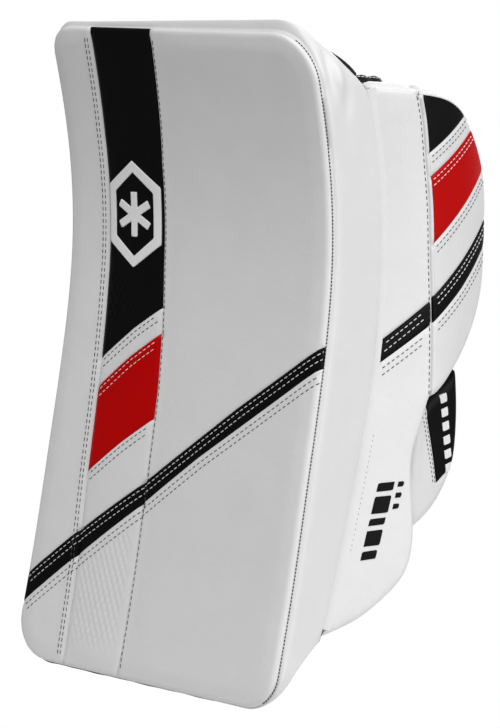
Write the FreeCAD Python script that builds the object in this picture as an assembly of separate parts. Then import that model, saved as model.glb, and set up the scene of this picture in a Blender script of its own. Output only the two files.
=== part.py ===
import FreeCAD, Part
import math
import os

# A goalkeeper's blocker for the right hand: a padded board worn on the back of the hand, a side wing
# on the thumb side, and a glove with a cuff behind the board. Millimetres.
# Origin: the middle of the hand. +Z runs from the fingers to the wrist, +X to the thumb side,
# and -Y out of the face of the board.

V = FreeCAD.Vector

# Board
HALF_WIDTH = 101.5
HALF_HEIGHT = 187.5
HAND_DEPTH = 78.0
END_THICKNESS = 6.0
CORNER_RADII = {"top_left": 14.0, "top_right": 27.0, "bottom_right": 18.0, "bottom_left": 27.0}
FRONT_CURVE = [(-187.5, -27.4), (-125, -16.2), (-62.5, -7.7), (0, 0)]
FRONT_CURVE += [(62.5, 2.5), (125, -7.0), (187.5, -27.4)]
REAR_CURVE = [(-150, 14.5), (-95, 28.3), (-40, 40.6), (20, 48.6), (60, 48.2), (110, 42.4), (157, 29.0)]

# Layers
LEATHER = 1.6
STIFFENER = 1.6
LINING = 1.2
COVER = 1.5
EMBLEM = 0.8
ROLL_RADIUS = 2.2

# Seams of the face, as (z, x) down the board and as (x, z) across it
LEFT_SEAM = [(200, -62), (126, -65), (29, -65), (-75, -62.5), (-200, -57)]
RIGHT_SEAM = [(200, -15), (110, -22), (50, -22), (-22, -17), (-200, -14)]
STRIPE_TOP = [(-120, -158), (-67, -112), (-16, -74), (46, -24.5), (120, 30)]
STRIPE_BOTTOM = [(-120, -175), (-67, -128), (-16, -87), (22, -55.5), (120, 18)]
BLACK_BOTTOM = [(-80, -20), (-40, 13), (0, 41)]
RED_TOP = [(-80, -38), (-41, -4), (0, 26)]
RED_BOTTOM = [(-80, -88), (-39, -54), (0, -25)]
EMBLEM_CENTRE = (-43.5, 79.5)
EMBLEM_HALF_WIDTH = 20.0
EMBLEM_HALF_HEIGHT = 31.0
EMBLEM_SHOULDER = 16.5
EMBLEM_BAND = 5.2
STAR_RADIUS = 13.0
STAR_ARM = 4.6

# Side wing: the front panel flares out from the board's rear edge to the wing seam
FLARE_DEG = 21.0
WING_THICKNESS = 18.0
WING_GAP = 2.0
CREASE_Z = (-149.0, 156.5)
WING_SEAM = [(158, -18.2), (147, -14), (123, -7.6), (96, -1.7), (62, 2.5), (39, 5), (11, 6.7), (-15, 7)]
LOBE_EDGE = [(7, -15), (1.5, -32), (-2.7, -44), (-4.2, -58), (-3.4, -80), (-3.8, -97)]
LOBE_EDGE += [(-9.5, -115), (-21.5, -127.5), (-36, -138), (-64, -149.5)]
WING_TOP = 158.0
WING_STRIPE_TOP = [(-60, -8.5), (-28.5, 16), (5.6, 42.7), (40, 70)]
WING_STRIPE_BOTTOM = [(-60, -20), (-30.6, 2), (8.4, 30), (40, 53)]

# Rear flap of the wing: curves inwards from the seam
FLAP_RADIUS = 195.0
FLAP_START_DEG = 1.0
FLAP_LENGTH = 76.0
FLAP_SHEAR = 3.5
SEAM_GAP = 1.2
FLAP_LOWER = [(7, -15), (18, -9), (30, 1), (40, 11.5), (52, 28), (62, 50), (66.5, 70)]
FLAP_UPPER = [(66.5, 70), (67.5, 91), (64, 111), (54, 126.5), (39, 139), (26, 148), (8, 155), (-23, 158)]
FLAP_BLACK_BOTTOM = [(-20, 117), (-8.2, 123.2), (31.8, 147.1), (80, 176)]
FLAP_RED_TOP = [(-20, 101), (-5, 110.3), (39.3, 137.8), (80, 163)]
FLAP_RED_BOTTOM = [(-20, 56), (1.4, 72), (59.7, 114.9), (80, 130)]
FLAP_STRIPE_TOP = [(-20, 25), (4.4, 42.6), (32.9, 63.2), (80, 98.5)]
FLAP_STRIPE_BOTTOM = [(-20, 10), (8.6, 29.9), (35.4, 48.7), (80, 83)]

# Glove
GLOVE_HALF = (50.0, 19.0)
GLOVE_WALL = 2.0
GLOVE_CORNER = 15.0
KNUCKLE_Z = -46.0
WRIST_Z = 70.0
PALM_SPLIT_Y = 6.0
PAD_HALF_WIDTH = 52.0
PAD_Z = (-46.0, 66.0)
PAD_REACH_Y = -60.0
PALM_PATCH_X = (-34.0, 34.0)
PALM_PATCH_Z = (-38.0, 40.0)

# Cuff
CUFF_BASE_Z = 72.0
CUFF_TOP_Z = 156.0
CUFF_OUTER = {"base": (55.0, -27.0, 25.0), "top": (58.0, -39.5, 31.0)}
CUFF_INNER = {"base": (47.0, -19.0, 17.0), "top": (43.0, -24.0, 15.5)}
CUFF_CORNER = 16.0
CUFF_CORNER_SHRINK = 0.4
CUFF_ROLL_RADIUS = 4.6
CUFF_ROLL_Z = 160.8
OUTER_ROLL = (55.0, -36.0, 28.0)
INNER_ROLL = (45.4, -26.4, 18.4)
SLIT_HALF = 12.0

# Wrist strap
STRAP_Z = (86.0, 116.0)
STRAP_X = (-38.0, 38.0)
STRAP_THICKNESS = 2.5
PATCH_X = (15.0, 36.0)
PATCH_THICKNESS = 1.0
PATCH_GAP = 0.1
TAB_LENGTH = 14.0
TAB_INSET = 6.0
ANCHOR_X = (-46.0, -40.0)
ANCHOR_GAP = 0.05

# Fingers, from the thumb side to the little finger
FINGER_NAMES = ["finger_index", "finger_middle", "finger_ring", "finger_little"]
FINGER_TIPS = [20.0, 26.0, 22.0, 14.0]
FINGER_PITCH = 23.2
FINGER_RADIUS = 10.8
FINGER_WALL = 1.8
FINGER_STRAIGHT = 32.0
FINGER_BEND_RADIUS = 22.0
FINGER_BEND_DEG = 70.0
FINGER_TOP_Z = -48.0

# Thumb
THUMB_BASE = V(68, 24, 8)
THUMB_TIP = V(80, 34, -68)
THUMB_RADIUS = 11.5
THUMB_WALL = 1.8
GUARD_X = (93.5, 106.0)
GUARD_FRONT = [(11, -20.5), (6, -33), (3.5, -48), (3, -68), (5, -84), (10.5, -92)]
GUARD_REAR = [(10.5, -92), (24, -83.5), (36.5, -71), (45, -54), (46.5, -38), (45.5, -20), (42, 0)]
GUARD_TOP = (31, -8)  # the top edge passes here, 5 mm clear of the flap's lower edge
THUMB_STRIP = [(18, -17), (16.5, -27), (28.8, -65.7), (43, -56.5), (45, -38), (44, -20), (40.5, -1.5)]
STRIP_THICKNESS = 1.2
WEB_INNER_X = 82.0
WEB_Y = (24.0, 42.0)
WEB_Z = (-62.0, -18.0)

REACH = 400.0  # longer than any part, for cutting blocks
CLEAR_CUT = 5.0


def hand_y(depth):
    """Turns a depth behind the middle of the face into the y of the hand's frame."""
    return depth - HAND_DEPTH


def side_curve(points, x, shift=0.0):
    """A smooth curve in a plane of constant x through (z, depth) points, moved back by shift."""
    curve = Part.BSplineCurve()
    curve.interpolate([V(x, hand_y(y) + shift, z) for z, y in points])
    return curve


def line(start, end):
    return Part.LineSegment(start, end).toShape()


def closed_face(edges):
    return Part.Face(Part.Wire(Part.__sortEdges__(edges)))


def board_block(front_shift, rear_shift):
    """The board between its front curve, its rear curve and the two slanted ends."""
    x = -HALF_WIDTH
    front = side_curve(FRONT_CURVE, x, front_shift)
    rear = side_curve(REAR_CURVE, x, -rear_shift)
    edges = [front.toShape(), rear.toShape()]
    for sign in (-1, 1):
        tip_y = hand_y(FRONT_CURVE[0][1])
        near = V(x, tip_y + front_shift, sign * HALF_HEIGHT)
        far = V(x, tip_y + END_THICKNESS - rear_shift, sign * HALF_HEIGHT)
        end = rear.EndPoint if sign > 0 else rear.StartPoint
        edges += [line(near, far), line(far, end)]
    return closed_face(edges).extrude(V(2 * HALF_WIDTH, 0, 0))


def face_layer(front, back):
    """A sheet that follows the front curve, from one depth behind it to another."""
    x = -HALF_WIDTH
    near = side_curve(FRONT_CURVE, x, front)
    far = side_curve(FRONT_CURVE, x, back)
    edges = [near.toShape(), far.toShape()]
    edges += [line(near.StartPoint, far.StartPoint), line(near.EndPoint, far.EndPoint)]
    return closed_face(edges).extrude(V(2 * HALF_WIDTH, 0, 0))


def corner_arc(x, z, radius, start_deg):
    """A quarter circle about (x, z) in the plane of the face."""
    points = []
    for part in (0, 45, 90):
        angle = math.radians(start_deg + part)
        points.append(V(x + radius * math.cos(angle), -REACH, z + radius * math.sin(angle)))
    return Part.Arc(*points).toShape()


def board_outline(inset):
    """A long block along y whose section is the board's outline with rounded corners."""
    w = HALF_WIDTH - inset
    h = HALF_HEIGHT - inset
    r = {name: value - inset for name, value in CORNER_RADII.items()}
    tr, tl, bl, br = r["top_right"], r["top_left"], r["bottom_left"], r["bottom_right"]
    edges = [
        corner_arc(w - tr, h - tr, tr, 0),
        line(V(w - tr, -REACH, h), V(tl - w, -REACH, h)),
        corner_arc(tl - w, h - tl, tl, 90),
        line(V(-w, -REACH, h - tl), V(-w, -REACH, bl - h)),
        corner_arc(bl - w, bl - h, bl, 180),
        line(V(bl - w, -REACH, -h), V(w - br, -REACH, -h)),
        corner_arc(w - br, br - h, br, 270),
        line(V(w, -REACH, br - h), V(w, -REACH, h - tr)),
    ]
    return closed_face(edges).extrude(V(0, 2 * REACH, 0))


def prism_y(outline):
    """A long block along y over an (x, z) outline."""
    points = [V(x, -REACH, z) for x, z in outline]
    return Part.Face(Part.makePolygon(points + points[:1])).extrude(V(0, 2 * REACH, 0))


def prism_x(outline):
    """A long block along x over a (y, z) outline."""
    points = [V(-REACH, y, z) for y, z in outline]
    return Part.Face(Part.makePolygon(points + points[:1])).extrude(V(2 * REACH, 0, 0))


def above(seam):
    return seam + [(seam[-1][0], REACH), (seam[0][0], REACH)]


def below(seam):
    return seam + [(seam[-1][0], -REACH), (seam[0][0], -REACH)]


def box(x, y, z):
    return Part.makeBox(x[1] - x[0], y[1] - y[0], z[1] - z[0], V(x[0], y[0], z[0]))


def trimmed(shape, *blocks):
    for block in blocks:
        shape = shape.common(block)
    return shape


def emblem_outline():
    """A tall six-sided frame with a six-armed star inside it."""
    cx, cz = EMBLEM_CENTRE
    rings = []
    for inset in (0, EMBLEM_BAND):
        half = EMBLEM_HALF_WIDTH - inset
        tall = EMBLEM_HALF_HEIGHT - 1.25 * inset
        shoulder = EMBLEM_SHOULDER * tall / EMBLEM_HALF_HEIGHT
        corners = [(0, tall), (half, shoulder), (half, -shoulder)]
        corners += [(-x, -z) for x, z in corners]
        rings.append(prism_y([(cx + x, cz + z) for x, z in corners]))
    shape = rings[0].cut(rings[1])
    arm = STAR_ARM / 2
    for k in range(3):
        bar = box((cx - arm, cx + arm), (-REACH, REACH), (cz - STAR_RADIUS, cz + STAR_RADIUS))
        bar.rotate(V(cx, 0, cz), V(0, 1, 0), 60 * k)
        shape = shape.fuse(bar)
    return shape


def board_parts():
    """The board's core, stiffener, gussets, rear cover and end rolls."""
    whole = board_block(0, 0)
    outer = board_outline(0)
    inner = board_outline(LEATHER)
    skin = face_layer(0, LEATHER)
    core = trimmed(board_block(LEATHER + STIFFENER, COVER), inner)
    ring = trimmed(whole, outer).cut(inner).cut(skin)
    left = box((-REACH, 0), (-REACH, REACH), (-REACH, REACH))
    right = box((0, REACH), (-REACH, REACH), (-REACH, REACH))
    cover = trimmed(whole, inner).cut(board_block(-CLEAR_CUT, COVER)).cut(face_layer(0, LEATHER + STIFFENER))
    parts = {
        "board_core": core,
        "board_stiffener": trimmed(face_layer(LEATHER, LEATHER + STIFFENER), inner),
        "gusset_little_finger_side": ring.common(left),
        "gusset_thumb_side": ring.common(right),
        "rear_cover": cover,
    }
    tip_y = hand_y(FRONT_CURVE[0][1]) + ROLL_RADIUS
    for name, sign in (("top_roll", 1), ("bottom_roll", -1)):
        z = sign * (HALF_HEIGHT + ROLL_RADIUS)
        start = V(-HALF_WIDTH + CORNER_RADII["bottom_left"], tip_y, z)
        length = 2 * (HALF_WIDTH - CORNER_RADII["bottom_left"])
        parts[name] = Part.makeCylinder(ROLL_RADIUS, length, start, V(1, 0, 0))
    return parts


def face_parts():
    """The leather panels, the slanted stripe and the emblem that make the face."""
    sheet = trimmed(face_layer(0, LEATHER), board_outline(0))
    left_edge = [(x, z) for z, x in LEFT_SEAM]
    right_edge = [(x, z) for z, x in RIGHT_SEAM]
    column = prism_y(left_edge + right_edge[::-1])
    left = prism_y(left_edge + [(-REACH, -REACH), (-REACH, REACH)])
    right = prism_y(right_edge + [(REACH, -REACH), (REACH, REACH)])
    stripe = prism_y(STRIPE_TOP + STRIPE_BOTTOM[::-1])
    middle = sheet.common(column)
    star = face_layer(-EMBLEM, 0).common(emblem_outline())
    return {
        "face_outer_panel": sheet.common(left).cut(stripe),
        "face_main_panel": sheet.common(right).cut(stripe),
        "face_stripe_outer": trimmed(sheet, left, stripe),
        "face_stripe_middle": middle.common(stripe),
        "face_stripe_main": trimmed(sheet, right, stripe),
        "face_black_panel": middle.common(prism_y(above(BLACK_BOTTOM))),
        "face_white_band": trimmed(middle, prism_y(below(BLACK_BOTTOM)), prism_y(above(RED_TOP))),
        "face_red_panel": trimmed(middle, prism_y(below(RED_TOP)), prism_y(above(RED_BOTTOM))),
        "face_white_wedge": trimmed(middle, prism_y(below(RED_BOTTOM)), prism_y(above(STRIPE_TOP))),
        "face_textured_panel": middle.common(prism_y(below(STRIPE_BOTTOM))),
        "face_emblem": star.common(column),
    }


def wing_layer(start, thickness):
    """A layer of the flared front panel, from one depth under its outer surface, thickness deep."""
    flare = math.radians(FLARE_DEG)
    edge = side_curve(REAR_CURVE, HALF_WIDTH - start, WING_GAP).toShape()
    surface = edge.extrude(V(math.sin(flare), math.cos(flare), 0) * FLAP_LENGTH)
    return surface.extrude(V(-thickness, 0, 0))


def smooth_edge(points, x):
    """A smooth curve through (y, z) points at a constant x."""
    curve = Part.BSplineCurve()
    curve.interpolate([V(x, y, z) for y, z in points])
    return curve


def wing_outline():
    """A long block along x over the front panel: flat top, wing seam, and the rounded lower lobe."""
    seam = smooth_edge([(y - SEAM_GAP / 2, z) for z, y in WING_SEAM], -REACH)
    lobe = smooth_edge([(y - SEAM_GAP / 2, z) for y, z in LOBE_EDGE], -REACH)
    far_top = V(-REACH, -REACH, WING_TOP)
    far_bottom = V(-REACH, -REACH, LOBE_EDGE[-1][1])
    edges = [seam.toShape(), lobe.toShape(), line(seam.StartPoint, far_top)]
    edges += [line(far_top, far_bottom), line(far_bottom, lobe.EndPoint)]
    return closed_face(edges).extrude(V(2 * REACH, 0, 0))


def wing_parts():
    """The front panel of the side wing: lining, foam, stiffener and three outer leathers."""
    outline = wing_outline()
    skin = wing_layer(0, LEATHER).common(outline)
    core_start = LEATHER + STIFFENER
    core_depth = WING_THICKNESS - core_start - LINING
    return {
        "wing_core": wing_layer(core_start, core_depth).common(outline),
        "wing_stiffener": wing_layer(LEATHER, STIFFENER).common(outline),
        "wing_lining": wing_layer(WING_THICKNESS - LINING, LINING).common(outline),
        "wing_upper_panel": skin.common(prism_x(above(WING_STRIPE_TOP))),
        "wing_stripe": skin.common(prism_x(WING_STRIPE_TOP + WING_STRIPE_BOTTOM[::-1])),
        "wing_lobe_panel": skin.common(prism_x(below(WING_STRIPE_BOTTOM))),
    }


def rear_depth(z):
    """The y of the board's rear edge at a height."""
    curve = side_curve(REAR_CURVE, 0)
    point = curve.toShape().common(box((-1, 1), (-REACH, REACH), (z - 0.01, z + 0.01)))
    return point.Vertexes[0].Point.y


def seam_x(y, z):
    """The x of the front panel's outer surface at a point of the wing seam."""
    return HALF_WIDTH + (y - rear_depth(z)) * math.tan(math.radians(FLARE_DEG))


def flap_layer(start, thickness):
    """A layer of the rear flap: arcs that curve inwards, lofted down the wing seam."""
    arcs = []
    for z, y in WING_SEAM:
        x = seam_x(y, min(max(z, CREASE_Z[0]), CREASE_Z[1])) - start
        points = []
        for share in (0, 0.5, 1):
            angle = math.radians(FLAP_START_DEG) - share * FLAP_LENGTH / FLAP_RADIUS
            first = math.radians(FLAP_START_DEG)
            across = FLAP_RADIUS * (math.cos(angle) - math.cos(first))
            along = FLAP_RADIUS * (math.sin(first) - math.sin(angle))
            points.append(V(x + across, y + SEAM_GAP / 2 + along, z))
        arcs.append(Part.Wire([Part.Arc(*points).toShape()]))
    shear = FLAP_SHEAR * thickness / WING_THICKNESS
    surface = Part.makeLoft(arcs, False, False)
    surface.translate(V(0, FLAP_SHEAR * start / WING_THICKNESS, 0))
    return surface.Faces[0].extrude(V(-thickness, shear, 0))


def flap_outline():
    """A long block along x over the flap: rounded top, straight rear edge and slanted lower edge."""
    lower = smooth_edge(FLAP_LOWER, -REACH)
    upper = smooth_edge(FLAP_UPPER, -REACH)
    far_top = V(-REACH, -REACH, FLAP_UPPER[-1][1])
    far_bottom = V(-REACH, -REACH, FLAP_LOWER[0][1])
    edges = [lower.toShape(), upper.toShape(), line(upper.EndPoint, far_top)]
    edges += [line(far_top, far_bottom), line(far_bottom, lower.StartPoint)]
    return closed_face(edges).extrude(V(2 * REACH, 0, 0))


def flap_parts():
    """The rear flap of the side wing: lining, foam and six outer leathers."""
    outline = flap_outline()
    skin = flap_layer(0, LEATHER).common(outline)
    stripe_top = prism_x(above(FLAP_STRIPE_TOP))
    red_bottom = prism_x(below(FLAP_RED_BOTTOM))
    band = trimmed(skin, prism_x(below(FLAP_BLACK_BOTTOM)), prism_x(above(FLAP_RED_TOP)))
    return {
        "flap_core": flap_layer(LEATHER, WING_THICKNESS - LEATHER - LINING).common(outline),
        "flap_lining": flap_layer(WING_THICKNESS - LINING, LINING).common(outline),
        "flap_black_panel": skin.common(prism_x(above(FLAP_BLACK_BOTTOM))),
        "flap_white_band": band,
        "flap_red_panel": skin.common(prism_x(FLAP_RED_TOP + FLAP_RED_BOTTOM[::-1])),
        "flap_middle_panel": trimmed(skin, red_bottom, stripe_top),
        "flap_stripe": skin.common(prism_x(FLAP_STRIPE_TOP + FLAP_STRIPE_BOTTOM[::-1])),
        "flap_lower_panel": skin.common(prism_x(below(FLAP_STRIPE_BOTTOM))),
    }


def rounded_wire(half_x, y_low, y_high, radius, z):
    """A rectangle with rounded corners, level at height z."""
    edges = []
    corners = [(half_x, y_high, 0), (-half_x, y_high, 90), (-half_x, y_low, 180), (half_x, y_low, 270)]
    ends = []
    for x, y, start in corners:
        cx = x - math.copysign(radius, x)
        cy = y - math.copysign(radius, y)
        arc = [math.radians(start + part) for part in (0, 45, 90)]
        points = [V(cx + radius * math.cos(a), cy + radius * math.sin(a), z) for a in arc]
        edges.append(Part.Arc(*points).toShape())
        ends.append((points[0], points[2]))
    for k in range(4):
        edges.append(line(ends[k][1], ends[(k + 1) % 4][0]))
    return Part.Wire(Part.__sortEdges__(edges))


def glove_parts():
    """The pad behind the board, the glove's back and palm, and the patch on the palm."""
    half_x, half_y = GLOVE_HALF
    height = WRIST_Z - KNUCKLE_Z
    shells = []
    for inset in (0, GLOVE_WALL):
        wire = rounded_wire(half_x - inset, inset - half_y, half_y - inset, GLOVE_CORNER - inset, KNUCKLE_Z)
        shells.append(Part.Face(wire).extrude(V(0, 0, height)))
    tube = shells[0].cut(shells[1])
    rear = box((-REACH, REACH), (PALM_SPLIT_Y, REACH), (-REACH, REACH))
    pad = box((-PAD_HALF_WIDTH, PAD_HALF_WIDTH), (PAD_REACH_Y, -half_y), PAD_Z).cut(board_block(0, 0))
    patch = box(PALM_PATCH_X, (half_y, half_y + LEATHER), PALM_PATCH_Z)
    return {
        "hand_pad": pad,
        "glove_back": tube.cut(rear),
        "palm": tube.common(rear),
        "palm_patch": patch,
    }


def cuff_tube(sizes):
    ends = []
    for level, z in (("base", CUFF_BASE_Z), ("top", CUFF_TOP_Z)):
        half_x, low, high = sizes[level]
        radius = CUFF_CORNER - (CUFF_OUTER[level][0] - half_x) * CUFF_CORNER_SHRINK
        ends.append(rounded_wire(half_x, low, high, radius, z))
    return Part.makeLoft(ends, True, True)


def cuff_roll(line_sizes):
    """A padded roll on the rim of the cuff."""
    half_x, low, high = line_sizes
    path = rounded_wire(half_x, low, high, CUFF_CORNER, CUFF_ROLL_Z)
    middle = V(half_x, (low + high) / 2, CUFF_ROLL_Z)
    disc = Part.Face(Part.Wire(Part.makeCircle(CUFF_ROLL_RADIUS, middle, V(0, 1, 0))))
    return path.makePipe(disc)


def cuff_wall_y(z):
    """The y of the cuff's outer wall on the palm side."""
    share = (z - CUFF_BASE_Z) / (CUFF_TOP_Z - CUFF_BASE_Z)
    return CUFF_OUTER["base"][2] + share * (CUFF_OUTER["top"][2] - CUFF_OUTER["base"][2])


def on_cuff(x, start, thickness, z=STRAP_Z):
    """A flat strip parallel to the cuff's palm side, from one distance off the wall, thickness deep."""
    low, high = cuff_wall_y(z[0]) + start, cuff_wall_y(z[1]) + start
    outline = [(low, z[0]), (high, z[1]), (high + thickness, z[1]), (low + thickness, z[0])]
    return prism_x(outline).common(box(x, (-REACH, REACH), (-REACH, REACH)))


def cuff_parts():
    """The split cuff, the two rolls on its rim, and what its strap closes on."""
    slit = box((-SLIT_HALF, SLIT_HALF), (0, REACH), (0, REACH))
    strap_start = 2 * PATCH_THICKNESS + PATCH_GAP
    return {
        "cuff_wall": cuff_tube(CUFF_OUTER).cut(cuff_tube(CUFF_INNER)).cut(slit),
        "cuff_outer_roll": cuff_roll(OUTER_ROLL).cut(slit),
        "cuff_inner_roll": cuff_roll(INNER_ROLL).cut(slit),
        "loop_patch": on_cuff(PATCH_X, 0, PATCH_THICKNESS),
        "strap_anchor": on_cuff(ANCHOR_X, ANCHOR_GAP, strap_start + STRAP_THICKNESS),
    }


def strap_parts():
    """The wrist strap, its hook patch and its pull tab."""
    start = PATCH_THICKNESS + PATCH_GAP
    band_start = start + PATCH_THICKNESS
    tab_z = (STRAP_Z[0] + TAB_INSET, STRAP_Z[1] - TAB_INSET)
    tab_x = (STRAP_X[1], STRAP_X[1] + TAB_LENGTH)
    return {
        "wrist_strap": on_cuff(STRAP_X, band_start, STRAP_THICKNESS),
        "hook_patch": on_cuff(PATCH_X, start, PATCH_THICKNESS),
        "strap_tab": on_cuff(tab_x, band_start, STRAP_THICKNESS, tab_z),
    }


def finger_path(x, tip):
    """Straight down from the knuckle, a bend towards the palm, and a straight fingertip."""
    bend = math.radians(FINGER_BEND_DEG)
    r = FINGER_BEND_RADIUS
    top = V(x, 0, FINGER_TOP_Z)
    start = V(x, 0, FINGER_TOP_Z - FINGER_STRAIGHT)
    points = [start + V(0, r - r * math.cos(a), -r * math.sin(a)) for a in (0, bend / 2, bend)]
    end = points[2] + V(0, math.sin(bend), -math.cos(bend)) * tip
    edges = [line(top, start), Part.Arc(*points).toShape(), line(points[2], end)]
    return Part.Wire(edges), end


def bent_stall(path, end, start, radius):
    """A round finger shape of one radius along a path, with a rounded tip."""
    disc = Part.Face(Part.Wire(Part.makeCircle(radius, start, V(0, 0, -1))))
    return path.makePipe(disc).fuse(Part.makeSphere(radius, end))


def straight_stall(start, end, radius):
    """A round thumb shape of one radius between two points, with a rounded tip."""
    rod = Part.makeCylinder(radius, start.distanceToPoint(end), start, end - start)
    return rod.fuse(Part.makeSphere(radius, end))


def finger_parts():
    parts = {}
    for k, name in enumerate(FINGER_NAMES):
        x = FINGER_PITCH * (1.5 - k)
        path, end = finger_path(x, FINGER_TIPS[k])
        start = V(x, 0, FINGER_TOP_Z)
        outside = bent_stall(path, end, start, FINGER_RADIUS)
        inside = bent_stall(path, end, start, FINGER_RADIUS - FINGER_WALL)
        parts[name] = outside.cut(inside)
    return parts


def guard_outline():
    front = smooth_edge(GUARD_FRONT, -REACH)
    rear = smooth_edge(GUARD_REAR, -REACH)
    top = V(-REACH, *GUARD_TOP)
    edges = [front.toShape(), rear.toShape(), line(rear.EndPoint, top), line(top, front.StartPoint)]
    return closed_face(edges).extrude(V(2 * REACH, 0, 0))


def thumb_parts():
    """The thumb's stall, the stiff guard outside it, and the dark strip on the guard."""
    outside = straight_stall(THUMB_BASE, THUMB_TIP, THUMB_RADIUS)
    inside = straight_stall(THUMB_BASE, THUMB_TIP, THUMB_RADIUS - THUMB_WALL)
    everywhere = (-REACH, REACH)
    guard = guard_outline().common(box(GUARD_X, everywhere, everywhere))
    strip_x = (GUARD_X[1], GUARD_X[1] + STRIP_THICKNESS)
    strip = prism_x(THUMB_STRIP).common(box(strip_x, everywhere, everywhere))
    web = box((WEB_INNER_X, GUARD_X[0]), WEB_Y, WEB_Z).cut(outside)
    return {
        "thumb_stall": outside.cut(inside),
        "thumb_guard": guard,
        "thumb_strip": strip,
        "thumb_web": web,
    }


def main():
    os.makedirs("parts", exist_ok=True)
    groups = [board_parts(), face_parts(), wing_parts(), flap_parts(), glove_parts()]
    groups += [cuff_parts(), strap_parts(), finger_parts(), thumb_parts()]
    for parts in groups:
        for name, shape in parts.items():
            shape.exportStep("parts/" + name + ".step")
            print(name, "solids", len(shape.Solids), "volume", round(shape.Volume), "valid", shape.isValid())


main()
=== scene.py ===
import math

import bmesh
import bpy
import numpy as np
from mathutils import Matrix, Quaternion, Vector
from mathutils.geometry import delaunay_2d_cdt


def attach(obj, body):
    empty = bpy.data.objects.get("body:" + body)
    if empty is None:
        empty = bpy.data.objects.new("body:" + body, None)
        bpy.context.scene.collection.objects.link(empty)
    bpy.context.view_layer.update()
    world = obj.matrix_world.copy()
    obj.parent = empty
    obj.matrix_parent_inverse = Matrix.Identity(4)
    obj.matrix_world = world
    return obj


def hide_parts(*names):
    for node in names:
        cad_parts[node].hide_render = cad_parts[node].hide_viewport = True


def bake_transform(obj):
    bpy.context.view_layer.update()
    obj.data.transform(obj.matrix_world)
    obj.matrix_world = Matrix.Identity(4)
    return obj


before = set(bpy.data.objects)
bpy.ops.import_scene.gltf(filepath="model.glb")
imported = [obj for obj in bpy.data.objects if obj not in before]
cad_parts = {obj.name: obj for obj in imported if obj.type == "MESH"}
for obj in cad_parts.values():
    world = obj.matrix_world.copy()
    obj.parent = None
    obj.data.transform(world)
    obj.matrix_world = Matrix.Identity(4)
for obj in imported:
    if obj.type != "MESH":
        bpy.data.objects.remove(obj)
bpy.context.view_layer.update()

# Everything is laid out in millimetres in the CAD frame and scaled to metres as each mesh is made.
MM = 0.001
HALF_WIDTH = 101.5
HALF_HEIGHT = 187.5
TOP_SLANT_Z = 157.0
FOOT_SLANT_Z = -150.0
HAND_DEPTH = 78.0
HALF_WIDTHS = {"top_right": 101.5, "top_left": 96.8, "bottom_left": 99.8, "bottom_right": 101.5}
CORNERS = {"top_right": 27.0, "top_left": 17.0, "bottom_left": 27.0, "bottom_right": 20.0}
SKIN = 1.3
FACE_ROLL = 2.6
FACE_INSET = 1.2
FREE_ROLL = 3.6
FOLD_ROLL = 4.0
CREASE_STRIP = 3.4
WING_THICKNESS = 18.0
WING_GAP = 2.0
WING_TOP_Z = 160.0
FLARE = math.tan(math.radians(21.0))
SEAM_GAP = 1.2
PIPING = 2.0
WHITE_EDGE = 2.4
FLAP_RADIUS = 195.0
FLAP_START = math.radians(1.0)

FRONT = [(-187.5, -27.4), (-125, -16.2), (-62.5, -7.7), (0, 0), (62.5, 2.5), (125, -7.0), (187.5, -27.4)]
REAR = [(-150, 14.5), (-95, 28.3), (-40, 40.6), (20, 48.6), (60, 48.2), (110, 42.4), (157, 29.0)]
LEFT_SEAM = [(200, -62), (126, -65), (29, -65), (-75, -62.5), (-200, -57)]
RIGHT_SEAM = [(200, -15), (110, -22), (50, -22), (-22, -17), (-200, -14)]
STRIPE_TOP = [(-120, -158), (-67, -112), (-16, -74), (46, -24.5), (120, 30)]
STRIPE_BOTTOM = [(-120, -175), (-67, -128), (-16, -87), (22, -55.5), (120, 18)]
BLACK_BOTTOM = [(-80, -20), (-40, 13), (0, 41)]
RED_TOP = [(-80, -38), (-41, -4), (0, 26)]
RED_BOTTOM = [(-80, -88), (-39, -54), (0, -25)]
TEXTURE_TOP = 48.0
WING_SEAM = [(158, -18.2), (147, -14), (123, -7.6), (96, -1.7), (62, 2.5), (39, 5), (11, 6.7), (-15, 7)]
LOBE_EDGE = [(6.4, -15), (1.2, -32), (-2.7, -44), (-4.2, -58), (-3.4, -80), (-3.8, -97)]
LOBE_EDGE += [(-9.5, -115), (-21.5, -127.5), (-36, -138), (-64, -149.5)]
WING_STRIPE_TOP = [(-60, -8.5), (-28.5, 16), (5.6, 42.7), (40, 70)]
WING_STRIPE_BOTTOM = [(-60, -20), (-30.6, 2), (8.4, 30), (40, 53)]
FLAP_LOWER = [(7.6, -15), (18, -9), (30, 1), (41.5, 12), (56, 30), (66.4, 52), (68.2, 70)]
FLAP_UPPER = [(68.2, 70), (68.8, 91), (66.5, 112), (56.5, 128), (42, 142), (28, 152), (9, 158), (-17, 160)]
FLAP_BLACK_BOTTOM = [(-20, 117), (-8.2, 123.2), (31.8, 147.1), (80, 176)]
FLAP_RED_TOP = [(-20, 101), (-5, 110.3), (39.3, 137.8), (80, 163)]
FLAP_RED_BOTTOM = [(-20, 56), (1.4, 72), (59.7, 114.9), (80, 130)]
FLAP_STRIPE_TOP = [(-20, 25), (4.4, 42.6), (32.9, 63.2), (80, 98.5)]
FLAP_STRIPE_BOTTOM = [(-20, 10), (8.6, 29.9), (35.4, 48.7), (80, 83)]


# ---------------------------------------------------------------- curves and outlines

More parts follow.
